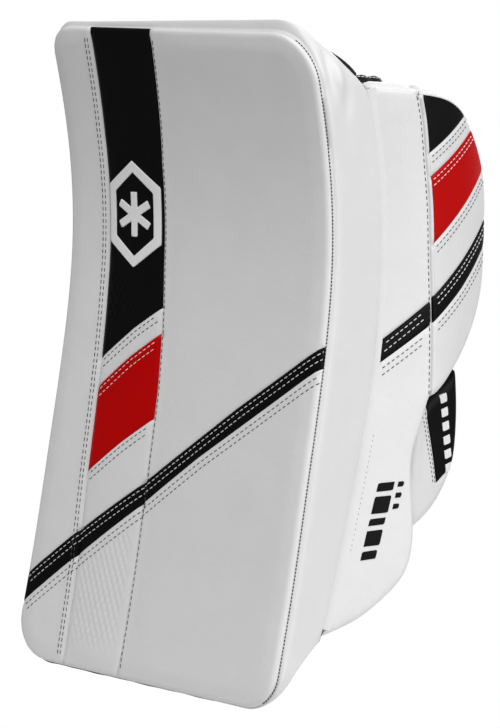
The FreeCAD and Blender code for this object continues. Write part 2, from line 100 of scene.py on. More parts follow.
def spline(points):
    """A natural cubic spline through (t, value) points, straight past its ends."""
    points = sorted(points)
    t = np.array([p[0] for p in points], float)
    v = np.array([p[1] for p in points], float)
    h = np.diff(t)
    n = len(t)
    system = np.eye(n)
    right = np.zeros(n)
    for k in range(1, n - 1):
        system[k, k - 1:k + 2] = h[k - 1], 2 * (h[k - 1] + h[k]), h[k]
        right[k] = 6 * ((v[k + 1] - v[k]) / h[k] - (v[k] - v[k - 1]) / h[k - 1])
    bend = np.linalg.solve(system, right)

    def at(q):
        q = np.asarray(q, float)
        inside_q = np.clip(q, t[0], t[-1])
        k = np.clip(np.searchsorted(t, inside_q) - 1, 0, n - 2)
        a = (t[k + 1] - inside_q) / h[k]
        b = (inside_q - t[k]) / h[k]
        value = a * v[k] + b * v[k + 1]
        value += ((a ** 3 - a) * bend[k] + (b ** 3 - b) * bend[k + 1]) * h[k] ** 2 / 6
        low = (v[1] - v[0]) / h[0] - h[0] * bend[1] / 6
        high = (v[-1] - v[-2]) / h[-1] + h[-1] * bend[-2] / 6
        return value + np.minimum(q - t[0], 0) * low + np.maximum(q - t[-1], 0) * high
    return at


front_y = spline([(z, y - HAND_DEPTH) for z, y in FRONT])
rear_y = spline([(z, y - HAND_DEPTH) for z, y in REAR])
seam_y = spline(WING_SEAM)


def path_length(points):
    return np.concatenate([[0], np.cumsum(np.linalg.norm(np.diff(points, axis=0), axis=1))])


def points_at(path, places):
    """The points of a path at given distances from its start."""
    s = path_length(path)
    return np.stack([np.interp(places, s, path[:, k]) for k in range(path.shape[1])], 1)


def even(points, count, to_end=True):
    """A path with a number of evenly spaced points, with or without its last one."""
    points = np.asarray(points, float)
    return points_at(points, np.linspace(0, path_length(points)[-1], count, endpoint=to_end))


def resample(points, step):
    """The same path with its points about step apart."""
    points = np.asarray(points, float)
    return even(points, max(2, int(round(path_length(points)[-1] / step)) + 1))


def smooth_path(points, step):
    """A smooth curve through a few points, with its points about step apart."""
    points = np.asarray(points, float)
    s = path_length(points)
    fine = np.linspace(0, s[-1], int(s[-1]) + 2)
    curves = [spline(list(zip(s, points[:, k]))) for k in range(points.shape[1])]
    return resample(np.stack([c(fine) for c in curves], 1), step)


def board_outline(inset, step):
    """The rounded outline of the board in (x, z), counter-clockwise, without a repeated last point."""
    h = HALF_HEIGHT - inset
    points = []
    for turn, name in enumerate(("top_right", "top_left", "bottom_left", "bottom_right")):
        sx = -1 if "left" in name else 1
        sz = -1 if "bottom" in name else 1
        r = CORNERS[name] - inset
        w = HALF_WIDTHS[name] - inset
        for k in range(13):
            a = math.radians(90 * turn + 7.5 * k)
            points.append((sx * (w - r) + r * math.cos(a), sz * (h - r) + r * math.sin(a)))
    points.append(points[0])
    return resample(points, step)[:-1]


def inside(points, polygon):
    """Which points lie inside a polygon."""
    found = np.zeros(len(points), bool)
    x, y = points[:, 0], points[:, 1]
    for (x1, y1), (x2, y2) in zip(polygon, np.roll(polygon, -1, axis=0)):
        if y1 == y2:
            continue
        crosses = ((y1 > y) != (y2 > y)) & (x < (x2 - x1) * (y - y1) / (y2 - y1) + x1)
        found ^= crosses
    return found


def distance(points, path):
    """Each point's distance to a path."""
    best = np.full(len(points), 1e9)
    for a, b in zip(path[:-1], path[1:]):
        d = b - a
        t = np.clip(((points - a) @ d) / max(d @ d, 1e-12), 0, 1)
        best = np.minimum(best, np.linalg.norm(points - a - t[:, None] * d, axis=1))
    return best


def closed(path):
    return np.vstack([path, path[:1]])


def unit(rows):
    """The same directions, each with a length of 1."""
    return rows / np.linalg.norm(rows, axis=1)[:, None]


def right_of(path):
    """Unit directions that point to the right along a flat path."""
    tangent = unit(np.gradient(path, axis=0))
    return np.stack([tangent[:, 1], -tangent[:, 0]], 1)


def rolled(d, radius):
    """How far a surface drops at a distance d from an edge that is rounded over with a radius."""
    near = 1 - np.clip(d / radius, 0, 1)
    return radius * (1 - np.sqrt(1 - near ** 2))


def across(line):
    """The second coordinate of a straight-sided line as a function of the first."""
    points = np.array(sorted(line), float)
    return lambda t: np.interp(t, points[:, 0], points[:, 1])


# ---------------------------------------------------------------- materials

def new_material(name, colour, roughness):
    """A plain material, with its node tree, its shader and its object coordinates."""
    material = bpy.data.materials.new(name)
    material.use_nodes = True
    tree = material.node_tree
    shader = tree.nodes["Principled BSDF"]
    shader.inputs["Base Color"].default_value = (*colour, 1)
    shader.inputs["Roughness"].default_value = roughness
    return material, tree, shader, node(tree, "ShaderNodeTexCoord").outputs["Object"]


def node(tree, kind, place=None, **values):
    """A shader node with some of its values set, and its vector fed by place."""
    made = tree.nodes.new(kind)
    for name, value in values.items():
        if name in made.inputs:
            made.inputs[name].default_value = value
        else:
            setattr(made, name, value)
    if place is not None:
        tree.links.new(place, made.inputs["Vector"])
    return made


def bump_chain(tree, shader, layers):
    """Joins bump layers, each (height socket, strength, distance in mm), into the shader's normal."""
    previous = None
    for height, strength, depth in layers:
        bump = node(tree, "ShaderNodeBump", Strength=strength, Distance=depth * MM)
        tree.links.new(height, bump.inputs["Height"])
        if previous is not None:
            tree.links.new(previous, bump.inputs["Normal"])
        previous = bump.outputs["Normal"]
    tree.links.new(previous, shader.inputs["Normal"])


def varied_colour(tree, shader, colour, place, scale, amount):
    """Lightens and darkens a colour a little over soft patches."""
    noise = node(tree, "ShaderNodeTexNoise", place, Scale=scale, Detail=4.0)
    ramp = node(tree, "ShaderNodeValToRGB")
    darkest, lightest = ramp.color_ramp.elements
    darkest.position = 0.3
    lightest.position = 0.7
    darkest.color = (*[c * (1 - amount) for c in colour], 1)
    lightest.color = (*[min(1, c * (1 + amount)) for c in colour], 1)
    tree.links.new(noise.outputs["Fac"], ramp.inputs["Fac"])
    tree.links.new(ramp.outputs["Color"], shader.inputs["Base Color"])


def leather(name, colour, roughness, grain=1.0, creases=1.0, gloss=0.45):
    """Synthetic leather: fine pebbled grain, soft stretch marks and faint patches of tone."""
    material, tree, shader, place = new_material(name, colour, roughness)
    shader.inputs["Specular IOR Level"].default_value = gloss
    varied_colour(tree, shader, colour, place, 45.0, 0.015)
    pebbles = node(tree, "ShaderNodeTexVoronoi", place, Scale=1150.0, feature="SMOOTH_F1")
    fine = node(tree, "ShaderNodeTexNoise", place, Scale=2600.0, Detail=3.0)
    soft = node(tree, "ShaderNodeTexNoise", place, Scale=70.0, Detail=5.0, Roughness=0.55, Distortion=0.6)
    layers = [
        (soft.outputs["Fac"], 0.28 * creases, 0.9),
        (pebbles.outputs["Distance"], 0.30 * grain, 0.10),
        (fine.outputs["Fac"], 0.20 * grain, 0.05),
    ]
    bump_chain(tree, shader, layers)
    return material


def woven(name, colour, roughness, pitch=0.9, depth=0.25):
    """Woven nylon: two sets of threads that pass over and under each other."""
    material, tree, shader, place = new_material(name, colour, roughness)
    shader.inputs["Sheen Weight"].default_value = 0.03
    shader.inputs["Sheen Roughness"].default_value = 0.5
    shader.inputs["Specular IOR Level"].default_value = 0.14
    varied_colour(tree, shader, colour, place, 160.0, 0.25)
    crossing = node(tree, "ShaderNodeMath", operation="MAXIMUM")
    for k, direction in enumerate(("X", "Z")):
        threads = node(tree, "ShaderNodeTexWave", place, Distortion=0.4, bands_direction=direction)
        threads.inputs["Scale"].default_value = 0.314 / (pitch * MM)
        threads.inputs["Detail Scale"].default_value = 40.0
        tree.links.new(threads.outputs["Fac"], crossing.inputs[k])
    fuzz = node(tree, "ShaderNodeTexNoise", place, Scale=3000.0, Detail=2.0)
    bump_chain(tree, shader, [(crossing.outputs[0], 0.6, depth), (fuzz.outputs["Fac"], 0.2, 0.08)])
    return material


def twisted_thread(name, colour):
    material, tree, shader, place = new_material(name, colour, 0.6)
    twist = node(tree, "ShaderNodeTexWave", place, Scale=900.0, Distortion=1.0, bands_direction="DIAGONAL")
    bump_chain(tree, shader, [(twist.outputs["Fac"], 0.5, 0.08)])
    return material


WHITE = leather("white_leather", (0.70, 0.70, 0.70), 0.42)
BLACK = leather("black_leather", (0.004, 0.004, 0.0045), 0.42, grain=0.8, creases=0.6, gloss=0.07)
RED = leather("red_leather", (0.46, 0.001, 0.001), 0.42, grain=0.8, creases=0.6, gloss=0.07)
NYLON = woven("black_nylon", (0.014, 0.014, 0.015), 0.7)
PAD_NYLON = woven("padded_nylon", (0.009, 0.009, 0.010), 0.6, pitch=0.6, depth=0.15)
HOOKS = woven("hook_and_loop", (0.02, 0.02, 0.02), 0.9, pitch=1.3, depth=0.5)
RUBBER = leather("moulded_rubber", (0.03, 0.03, 0.03), 0.55, grain=0.3, creases=0.1)
PALM_DARK = leather("palm_patch_suede", (0.07, 0.07, 0.075), 0.85, grain=1.3, creases=1.0)
PALM = leather("palm_suede", (0.13, 0.13, 0.135), 0.8, grain=1.2, creases=1.4)
PRINT = leather("grey_print", (0.78, 0.78, 0.78), 0.5, grain=0.5, creases=0.3)
DARK_THREAD = twisted_thread("dark_thread", (0.035, 0.035, 0.04))
PALE_THREAD = twisted_thread("pale_thread", (0.72, 0.72, 0.72))
GREY_THREAD = twisted_thread("grey_thread", (0.16, 0.16, 0.16))
COVERS = {"white_leather": WHITE, "black_leather": BLACK, "red_leather": RED}


# ---------------------------------------------------------------- meshes

def make_mesh(name, points, faces, material, body, smooth=True):
    """A mesh piece from points in millimetres, with outward normals, riding on a body."""
    data = bpy.data.meshes.new(name)
    data.from_pydata([tuple(p) for p in np.asarray(points) * MM], [], [tuple(f) for f in faces])
    data.validate()
    data.polygons.foreach_set("use_smooth", [smooth] * len(data.polygons))
    data.materials.append(material)
    piece = bpy.data.objects.new(name, data)
    bpy.context.scene.collection.objects.link(piece)
    fix_normals(piece)
    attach(piece, body)
    return piece


def fix_normals(piece):
    mesh = bmesh.new()
    mesh.from_mesh(piece.data)
    bmesh.ops.recalc_face_normals(mesh, faces=mesh.faces)
    mesh.to_mesh(piece.data)
    mesh.free()


def dress(piece, slot, *nodes, fill=None):
    """Hides the CAD nodes that the piece stands for; the piece, its slot and its fill are not used."""
    if nodes:
        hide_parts(*nodes)


def triangulate(outline, cuts, cell, beside=(0.5, 1.1, 2.0, 3.2), more=None):
    """Triangles over an outline, with edges along the cuts and extra points beside every edge."""
    outline = np.asarray(outline, float)
    edges = [closed(outline)] + [np.asarray(c, float) for c in cuts]
    fixed = [outline]
    pairs = [(k, (k + 1) % len(outline)) for k in range(len(outline))]
    count = len(outline)
    for cut in edges[1:]:
        fixed.append(cut)
        pairs += [(count + k, count + k + 1) for k in range(len(cut) - 1)]
        count += len(cut)
    extra = []
    for path in edges:
        tangent = np.gradient(path, axis=0)
        tangent /= np.linalg.norm(tangent, axis=1)[:, None] + 1e-12
        normal = np.stack([-tangent[:, 1], tangent[:, 0]], 1)
        for offset in beside:
            for sign in (-1, 1):
                extra.append((path + normal * offset * sign, offset))
    low, high = outline.min(0), outline.max(0)
    xs = np.arange(low[0], high[0], cell)
    ys = np.arange(low[1], high[1], cell * 0.866)
    grid = np.array([(x + (j % 2) * cell / 2, y) for j, y in enumerate(ys) for x in xs])
    kept = []

    def clear_of(points):
        return np.min([distance(points, path) for path in edges], axis=0)

    for points, offset in extra:
        points = points[inside(points, outline)]
        kept.append(points[clear_of(points) > offset * 0.93])
    grid = grid[inside(grid, outline)]
    kept.append(grid[clear_of(grid) > max(beside) * 1.25])
    if more is not None:
        more = more[inside(more, outline)]
        kept.append(more[clear_of(more) > max(beside) * 1.1])
    all_points = np.vstack(fixed + kept)
    made = delaunay_2d_cdt([Vector(p) for p in all_points], pairs, [], 0, 1e-4)
    points = np.array([tuple(p) for p in made[0]])
    triangles = np.array([tuple(f) for f in made[2]])
    middles = points[triangles].mean(1)
    return points, triangles[inside(middles, outline)]


def solid_faces(points, triangles, surface, push):
    """The outer points, inner points and faces of a closed shell over flat triangles."""
    used, triangles = np.unique(triangles, return_inverse=True)
    triangles = triangles.reshape(-1, 3)
    flat = points[used]
    top = surface(flat)
    bottom = push(flat) if callable(push) else top + np.array(push)
    n = len(flat)
    directed = np.vstack([triangles[:, [0, 1]], triangles[:, [1, 2]], triangles[:, [2, 0]]])
    known = {(int(a), int(b)) for a, b in directed}
    rim = [e for e in known if (e[1], e[0]) not in known]
    rim.sort()
    faces = [tuple(int(v) for v in t) for t in triangles]
    faces += [(int(t[2]) + n, int(t[1]) + n, int(t[0]) + n) for t in triangles]
    faces += [(b, a, a + n, b + n) for a, b in rim]
    return top, bottom, faces


def sheet_solid(name, points, triangles, surface, push, material, body):
    """A closed shell: surface gives its outer side, and push moves that to, or is, its inner side."""
    top, bottom, faces = solid_faces(points, triangles, surface, push)
    return make_mesh(name, np.vstack([top, bottom]), faces, material, body)


def regions_to_pieces(points, triangles, regions, surface, push, body):
    """One piece for each region, which is (name, test on triangle middles, slot, CAD nodes)."""
    middles = points[triangles].mean(1)
    for name, test, slot, *nodes in regions:
        piece = sheet_solid(name, points, triangles[test(middles)], surface, push, COVERS[slot], body)
        dress(piece, slot, *nodes)


def surface_frame(surface, flat):
    """Points on a surface and its unit normals, from its slope in both directions."""
    e = 0.2
    middle = surface(flat)
    du = surface(flat + [e, 0]) - surface(flat - [e, 0])
    dv = surface(flat + [0, e]) - surface(flat - [0, e])
    normal = np.cross(du, dv)
    return middle, normal / (np.linalg.norm(normal, axis=1)[:, None] + 1e-12)


def moved(surface, step):
    """A surface moved by a fixed step."""
    return lambda flat: surface(flat) + step


def on_surface(rows, surface, outward):
    """Each flat row as (points, outward normals) on a surface."""
    placed = []
    for row in rows:
        if len(row) < 2:
            continue
        points, normals = surface_frame(surface, resample(row, 0.5))
        normals[normals @ np.array(outward) < 0] *= -1
        placed.append((points, normals))
    return placed


def stitches(name, rows, material, body, length=2.5, gap=1.1, radius=0.28):
    """Rows of separate stitches that lie on a surface and dip into it at both ends."""
    rings = [(0.0, 0.3, -0.55), (0.12, 0.85, 0.05), (0.5, 1.0, 0.25), (0.88, 0.85, 0.05), (1.0, 0.3, -0.55)]
    sides = 6
    points, faces = [], []
    for row, normals in rows:
        s = path_length(row)
        start = 0.6
        while start + length < s[-1]:
            at = np.array([start + length * r[0] for r in rings])
            middle = points_at(row, at)
            lift_way = normals[int(np.searchsorted(s, at[2]))]
            tangent = middle[-1] - middle[0]
            tangent /= np.linalg.norm(tangent)
            side = np.cross(tangent, lift_way)
            side /= np.linalg.norm(side)
            up = np.cross(side, tangent)
            first = len(points)
            for k, (_, size, rise) in enumerate(rings):
                centre = middle[k] + up * rise * radius
                for j in range(sides):
                    a = 2 * math.pi * j / sides
                    points.append(centre + radius * size * (math.cos(a) * side + math.sin(a) * up))
            for k in range(len(rings) - 1):
                for j in range(sides):
                    a, b = first + k * sides + j, first + k * sides + (j + 1) % sides
                    faces.append((a, b, b + sides, a + sides))
            faces.append(tuple(first + j for j in range(sides))[::-1])
            faces.append(tuple(first + (len(rings) - 1) * sides + j for j in range(sides)))
            start += length + gap
    return make_mesh(name, points, faces, material, body)


def loft(name, loops, material, body, wrap=False):
    """A closed skin over loops of equal length, capped at both ends or joined round into a ring."""
    n, m = len(loops[0]), len(loops)
    faces = []
    for k in range(m if wrap else m - 1):
        for j in range(n):
            a, b = k * n + j, k * n + (j + 1) % n
            c, d = ((k + 1) % m) * n + (j + 1) % n, ((k + 1) % m) * n + j
            faces.append((a, b, c, d))
    if not wrap:
        faces.append(tuple(range(n))[::-1])
        faces.append(tuple(range((m - 1) * n, m * n)))
    return make_mesh(name, np.vstack(loops), faces, material, body)


def frames_along(path, start_side=(0.3, 0.2, 0.9)):
    """Two sideways directions at each point of a path, without twist."""
    tangents = unit(np.gradient(path, axis=0))
    side = np.cross(tangents[0], start_side)
    sides, ups = [], []
    for t in tangents:
        side = side - t * (side @ t)
        side = side / np.linalg.norm(side)
        sides.append(side)
        ups.append(np.cross(t, side))
    return sides, ups


def tube_loops(path, radius, count=16, start_side=(0.3, 0.2, 0.9)):
    """Rings round a path; radius is a number, or a function of (share of the length, angles)."""
    path = np.asarray(path, float)
    sides, ups = frames_along(path, start_side)
    share = path_length(path) / path_length(path)[-1]
    angles = np.linspace(0, 2 * math.pi, count, endpoint=False)
    loops = []
    for p, side, up, t in zip(path, sides, ups, share):
        r = radius(t, angles) if callable(radius) else radius
        r = np.broadcast_to(r, angles.shape)
        loops.append(p + (r * np.cos(angles))[:, None] * side + (r * np.sin(angles))[:, None] * up)
    return loops


def tube(name, path, radius, material, body, count=16, round_ends=False):
    """A solid tube along a path, with flat or rounded ends."""
    loops = tube_loops(path, radius, count)
    if round_ends:
        loops = domed(loops, path[0] - path[1], True) + loops + domed(loops, path[-1] - path[-2], False)
    return loft(name, loops, material, body)


def domed(loops, outward, at_start, share=0.85):
    """Shrinking rings that round off one end of a tube."""
    end = loops[0] if at_start else loops[-1]
    middle = end.mean(0)
    outward = np.array(outward) / np.linalg.norm(outward)
    size = np.linalg.norm(end - middle, axis=1).mean() * share
    rings = []
    for a in (20, 42, 62, 78, 88):
        a = math.radians(a)
        rings.append(middle + (end - middle) * math.cos(a) + outward * size * math.sin(a))
    return rings[::-1] if at_start else rings


def decal(name, shapes, surface, lift, material, body, cell=1.2):
    """Flat shapes laid on a surface, a little raised: closed outlines in the surface's two coordinates."""
    points, faces = [], []
    for outline, hole in shapes:
        outline = resample(closed(np.asarray(outline, float)), cell)[:-1]
        cuts = [] if hole is None else [resample(closed(np.asarray(hole, float)), cell)]
        flat, triangles = triangulate(outline, cuts, cell * 1.5, (0.4,))
        if hole is not None:
            triangles = triangles[~inside(flat[triangles].mean(1), np.asarray(hole, float))]
        top, bottom, made = solid_faces(flat, triangles, surface, np.array(lift))
        made = [tuple(v + len(points) for v in face) for face in made]
        points += list(top) + list(bottom)
        faces += made
    return make_mesh(name, points, faces, material, body)


def band_path(line, low, high, amount=0.0, step=3.0):
    """A line (t, value) between two values of t, moved sideways by amount."""
    value = across(line)
    t = np.arange(low, high + step, step)
    path = np.stack([t, value(t)], 1)
    return path - right_of(path) * amount


# ---------------------------------------------------------------- face of the board

RIM = board_outline(FACE_INSET, 3.0)
LEFT_X = across(LEFT_SEAM)
RIGHT_X = across(RIGHT_SEAM)
TOP_Z = across(STRIPE_TOP)
BOTTOM_Z = across(STRIPE_BOTTOM)


def seam_path(seam, low, high, amount=0.0, step=3.0):
    """A near-vertical seam as (x, z) points from low to high, moved sideways by amount."""
    z = np.arange(low, high + step, step)
    return np.stack([across(seam)(z) + amount, z], 1)


def face_cuts():
    cuts = [seam_path(LEFT_SEAM, -192, 192), seam_path(RIGHT_SEAM, -192, 192)]
    cuts += [band_path(STRIPE_TOP, -106, 106), band_path(STRIPE_BOTTOM, -106, 106)]
    for line in (BLACK_BOTTOM, RED_TOP, RED_BOTTOM):
        t = np.arange(-70, -8, 3.0)
        path = np.stack([t, across(line)(t)], 1)
        within = (t > LEFT_X(path[:, 1])) & (t < RIGHT_X(path[:, 1]))
        first, last = np.argmax(within), len(t) - np.argmax(within[::-1])
        cuts.append(path[max(first - 1, 0):last + 1])
    return cuts


def face_surface(flat):
    """The face: its curve, the rolled rim, crowned panels and the sewn seams."""
    x, z = flat[:, 0], flat[:, 1]
    rim = distance(flat, closed(RIM))
    vertical = np.minimum(np.abs(x - LEFT_X(z)), np.abs(x - RIGHT_X(z)))
    in_column = (x > LEFT_X(z)) & (x < RIGHT_X(z))
    slope = 0.8
    bands = [TOP_Z(x), BOTTOM_Z(x)]
    band = np.min([np.abs(z - b) * slope for b in bands], axis=0)
    inner = [across(line)(x) for line in (BLACK_BOTTOM, RED_TOP, RED_BOTTOM)]
    column_band = np.min([np.abs(z - b) * slope for b in inner], axis=0)
    band = np.where(in_column, np.minimum(band, column_band), band)
    lift = 1.6 * (1 - np.exp(-vertical / 9)) - 1.0 * np.exp(-(vertical / 1.3) ** 2)
    lift -= 0.5 * np.exp(-(band / 0.9) ** 2)
    left_of = LEFT_X(z) - x
    right_of = x - RIGHT_X(z)
    for side in (left_of, right_of):
        lift += 0.55 * np.exp(-((side - 2.6) / 2.2) ** 4)
    lift += embossing(x, z, vertical, band)
    lift *= np.clip(rim / 9, 0, 1)
    y = front_y(z) - lift + rolled(rim, FACE_ROLL)
    return np.stack([x, y, z], 1)


def texture_zone(x, z):
    """Where the middle column is embossed: its foot, and the lower part of its black panel."""
    foot = (z < BOTTOM_Z(x)) & (z < -104)
    black = (z > across(BLACK_BOTTOM)(x)) & (z < TEXTURE_TOP)
    return (x > LEFT_X(z)) & (x < RIGHT_X(z)) & (foot | black)


def embossing(x, z, seam, band):
    """Small raised diamonds pressed into two parts of the middle column."""
    pitch, lean = 4.4, 0.55
    u, v = (x + z * lean) / pitch, (x - z * lean) / pitch
    bumps = np.cos(2 * math.pi * u) + np.cos(2 * math.pi * v)
    ends = np.clip((z + 176) / 12, 0, 1) * np.where(z > -104, np.clip((TEXTURE_TOP - z) / 12, 0, 1), 1)
    fade = np.clip((seam - 3) / 3, 0, 1) * np.clip((band - 5) / 4, 0, 1) * ends
    return np.where(texture_zone(x, z), 0.16 * bumps * fade, 0)


def above(line):
    """A test for the points above a line; below, between and both make other tests from it."""
    value = across(line)
    return lambda p: p[:, 1] > value(p[:, 0])


def between(low, high):
    return lambda p: above(low)(p) & ~above(high)(p)


def below(line):
    return lambda p: ~above(line)(p)


def both(*tests):
    return lambda p: np.all([test(p) for test in tests], axis=0)


def make_face():
    fine = np.array([(x + (j % 2) * 0.4, z) for j, z in enumerate(np.arange(-180, TEXTURE_TOP, 0.75))
                     for x in np.arange(-64, -14, 0.8)])
    in_texture = texture_zone(fine[:, 0], fine[:, 1])
    points, triangles = triangulate(RIM, face_cuts(), 3.2, more=fine[in_texture])
    left = lambda p: p[:, 0] < LEFT_X(p[:, 1])
    right = lambda p: p[:, 0] > RIGHT_X(p[:, 1])
    column = lambda p: ~left(p) & ~right(p)
    stripe = between(STRIPE_BOTTOM, STRIPE_TOP)
    plain = lambda p: ~stripe(p)
    white, black = "white_leather", "black_leather"
    regions = [
        ("outer_panel", both(left, plain), white, "face_outer_panel"),
        ("main_panel", both(right, plain), white, "face_main_panel"),
        ("stripe_outer", both(left, stripe), black, "face_stripe_outer"),
        ("stripe_middle", both(column, stripe), black, "face_stripe_middle"),
        ("stripe_main", both(right, stripe), black, "face_stripe_main"),
        ("black_panel", both(column, above(BLACK_BOTTOM)), black, "face_black_panel"),
        ("white_band", both(column, between(RED_TOP, BLACK_BOTTOM)), white, "face_white_band"),
        ("red_panel", both(column, between(RED_BOTTOM, RED_TOP)), "red_leather", "face_red_panel"),
        ("white_wedge", both(column, between(STRIPE_TOP, RED_BOTTOM)), white, "face_white_wedge",
         "board_stiffener"),
        ("textured_panel", both(column, below(STRIPE_BOTTOM)), white, "face_textured_panel"),
    ]
    regions_to_pieces(points, triangles, regions, face_surface, (0, SKIN, 0), "board")


def face_stitching():
    dark = [seam_path(LEFT_SEAM, -181, 181, -2.2), seam_path(LEFT_SEAM, -181, 181, -4.2)]
    dark.append(seam_path(RIGHT_SEAM, -181, 181, 2.6))
    for amount in (-3.0, -6.2):
        dark.append(band_path(STRIPE_BOTTOM, -97, 98, amount))
    for line in (BLACK_BOTTOM, RED_BOTTOM):
        dark += [column_path(line, -2.2), column_path(line, -5.4)]
    pale = [band_path(STRIPE_TOP, -98, 98, -2.4), band_path(STRIPE_TOP, -98, 98, -5.6)]
    pale += [column_path(RED_TOP, -2.2), column_path(RED_TOP, -5.4)]
    out = (0, -1, 0)
    stitches("face_stitches_dark", on_surface(dark, face_surface, out), DARK_THREAD, "board")
    stitches("face_stitches_pale", on_surface(pale, face_surface, out), PALE_THREAD, "board")


def column_path(line, amount):
    """A line across the middle column, moved down by amount and kept clear of both seams."""
    path = band_path(line, -70, -8, amount, 1.0)
    keep = (path[:, 0] > LEFT_X(path[:, 1]) + 2) & (path[:, 0] < RIGHT_X(path[:, 1]) - 2)
    return path[keep]


def face_emblem():
    """A plain emblem on the black column: a tall six-sided frame round a six-armed star."""
    cx, cz = -43.5, 79.5
    half, tall, corner, band = 20.0, 31.0, 16.5, 5.2
    side = [(-half, corner), (-half, -corner)]
    frame_shape = [(0, tall), *side, (0, -tall), *[(-x, z) for x, z in side[::-1]]]
    hole = [(x * (half - band) / half, z * (tall - band * 1.25) / tall) for x, z in frame_shape]
    arm, width = 13.0, 2.3
    star = []
    for k in range(6):
        a = math.radians(90 + 60 * k)
        along, side = np.array([math.cos(a), math.sin(a)]), np.array([-math.sin(a), math.cos(a)])
        star += [along * arm - side * width, along * arm + side * width]
        b = a + math.radians(30)
        star.append(np.array([math.cos(b), math.sin(b)]) * 2 * width)
    place = lambda shape: [(cx + x, cz + z) for x, z in shape]
    raised = moved(face_surface, [0, -0.55, 0])
    shapes = [(place(frame_shape), place(hole)), (place(star), None)]
    dress(decal("emblem", shapes, raised, (0, 0.7, 0), PRINT, "board"), "grey_print", "face_emblem")


# ---------------------------------------------------------------- gusset and rear cover

def rear_depth(z):
    """The back of the board's side: its rear curve, a full slant at the top and a hollow one at the foot."""
    z = np.asarray(z, float)
    tip = front_y(HALF_HEIGHT) + 6
    up = np.clip((z - TOP_SLANT_Z) / (HALF_HEIGHT - TOP_SLANT_Z), 0, 1)
    down = np.clip((FOOT_SLANT_Z - z) / (HALF_HEIGHT + FOOT_SLANT_Z), 0, 1)
    top = rear_y(TOP_SLANT_Z) + up * (tip - rear_y(TOP_SLANT_Z)) + 2.4 * np.sin(math.pi * up)
    bottom = rear_y(FOOT_SLANT_Z) + down * (tip - rear_y(FOOT_SLANT_Z)) - 5.5 * np.sin(math.pi * down)
    return np.where(z > TOP_SLANT_Z, top, np.where(z < FOOT_SLANT_Z, bottom, rear_y(z)))


def cover_depth(z):
    return np.maximum(rear_depth(z), front_y(z) + FACE_ROLL + SKIN + 1.0)


def outline_normals(outline):
    """Outward normals of a closed counter-clockwise outline."""
    tangent = unit(np.roll(outline, -1, axis=0) - np.roll(outline, 1, axis=0))
    return np.stack([tangent[:, 1], -tangent[:, 0]], 1)


def gusset():
    """The white side wall: a strip round the whole board, from the rim seam back to the rear edge."""
    outline = board_outline(0, 2.5)
    normal = outline_normals(outline)
    x, z = outline[:, 0], outline[:, 1]
    start = front_y(z) + FACE_ROLL + SKIN
    end = cover_depth(z)
    top = np.clip((z - 168) / 16, 0, 1) ** 2
    bottom = np.clip((-z - 168) / 16, 0, 1) ** 2
    thumb_side = np.clip((x + 70) / 150, 0, 1)
    swell = 0.4 + 0.5 * thumb_side + (1.5 + 3.6 * thumb_side) * top - 0.8 * bottom
    joined = np.clip((x - 96) / 3, 0, 1) * np.clip((150 - np.abs(z - 4)) / 6, 0, 1)
    steps = 30
    loops = []

    def ring(t, out):
        return np.stack([x + normal[:, 0] * out, start + (end - start) * t, z + normal[:, 1] * out], 1)

    for k in range(steps + 1):
        t = k / steps
        tuck = np.where((t > 0.5) & (joined > 0), 0.9 - 1.0 * joined, FACE_INSET + 0.7)
        round_top = math.sqrt(max(0.0, 1 - abs(2 * t - 1) ** 2.2))
        flat_side = (1 - abs(2 * t - 1) ** 9) ** 0.6
        shape = top * round_top + (1 - top) * flat_side
        out = swell * shape - tuck * (1 - shape)
        loops.append(ring(t, out + wall_wrinkles(x, start + (end - start) * t, z)))
    loops += [ring(t, -1.6) for t in (1.0, 0.5, 0.0)]
    piece = loft("gusset_wall", loops, WHITE, "board", wrap=True)
    dress(piece, "white_leather", "gusset_thumb_side", "gusset_little_finger_side", "top_roll", "bottom_roll")


def gusset_stitching():
    """The rows of stitches just behind the rim seam, one up each side."""
    outline = board_outline(0, 0.5)
    normal = outline_normals(outline)
    y = front_y(outline[:, 1]) + FACE_ROLL + 0.7
    out = 0.3 - FACE_INSET
    row = np.stack([outline[:, 0] + normal[:, 0] * out, y, outline[:, 1] + normal[:, 1] * out], 1)
    normals = np.stack([normal[:, 0], 0 * y, normal[:, 1]], 1)
    upright = np.abs(outline[:, 1]) < 184
    rows = []
    for side in (outline[:, 0] > 0, outline[:, 0] < 0):
        chosen = np.where(upright & side)[0]
        chosen = chosen[np.argsort(row[chosen, 2])]
        rows.append((row[chosen], normals[chosen]))
    stitches("rim_stitches", rows, DARK_THREAD, "board", length=1.4, gap=0.6, radius=0.3)


def rear_cover():
    """The black back of the board, slightly padded and sewn across in a few places."""
    outline = board_outline(0.6, 4.0)
    seams = (FOOT_SLANT_Z, -96, TOP_SLANT_Z)
    cuts = [resample([(-110, z), (110, z)], 4.0) for z in seams]

    def surface(flat):
        x, z = flat[:, 0], flat[:, 1]
        rim = distance(flat, closed(outline))
        seam = np.min([np.abs(z - height) for height in seams], axis=0)
        puff = 1.7 * np.clip(rim / 22, 0, 1) ** 0.7 * (1 - np.exp(-(seam / 5) ** 2)) - 0.2
        puff = puff + 0.25 * np.sin(x / 9 + np.sin(z / 17)) * np.clip(rim / 22, 0, 1)
        return np.stack([x, cover_depth(z) + puff, z], 1)

    points, triangles = triangulate(outline, cuts, 4.0, (1.0, 2.4))
    piece = sheet_solid("board_back", points, triangles, surface, (0, -1.2, 0), NYLON, "board")
    dress(piece, "black_nylon", "rear_cover", "board_core")
    rows = [[(-96, z + side), (96, z + side)] for z in seams for side in (-2.2, 2.2)]
    stitches("board_back_stitches", on_surface(rows, surface, (0, 1, 0)), GREY_THREAD, "board")


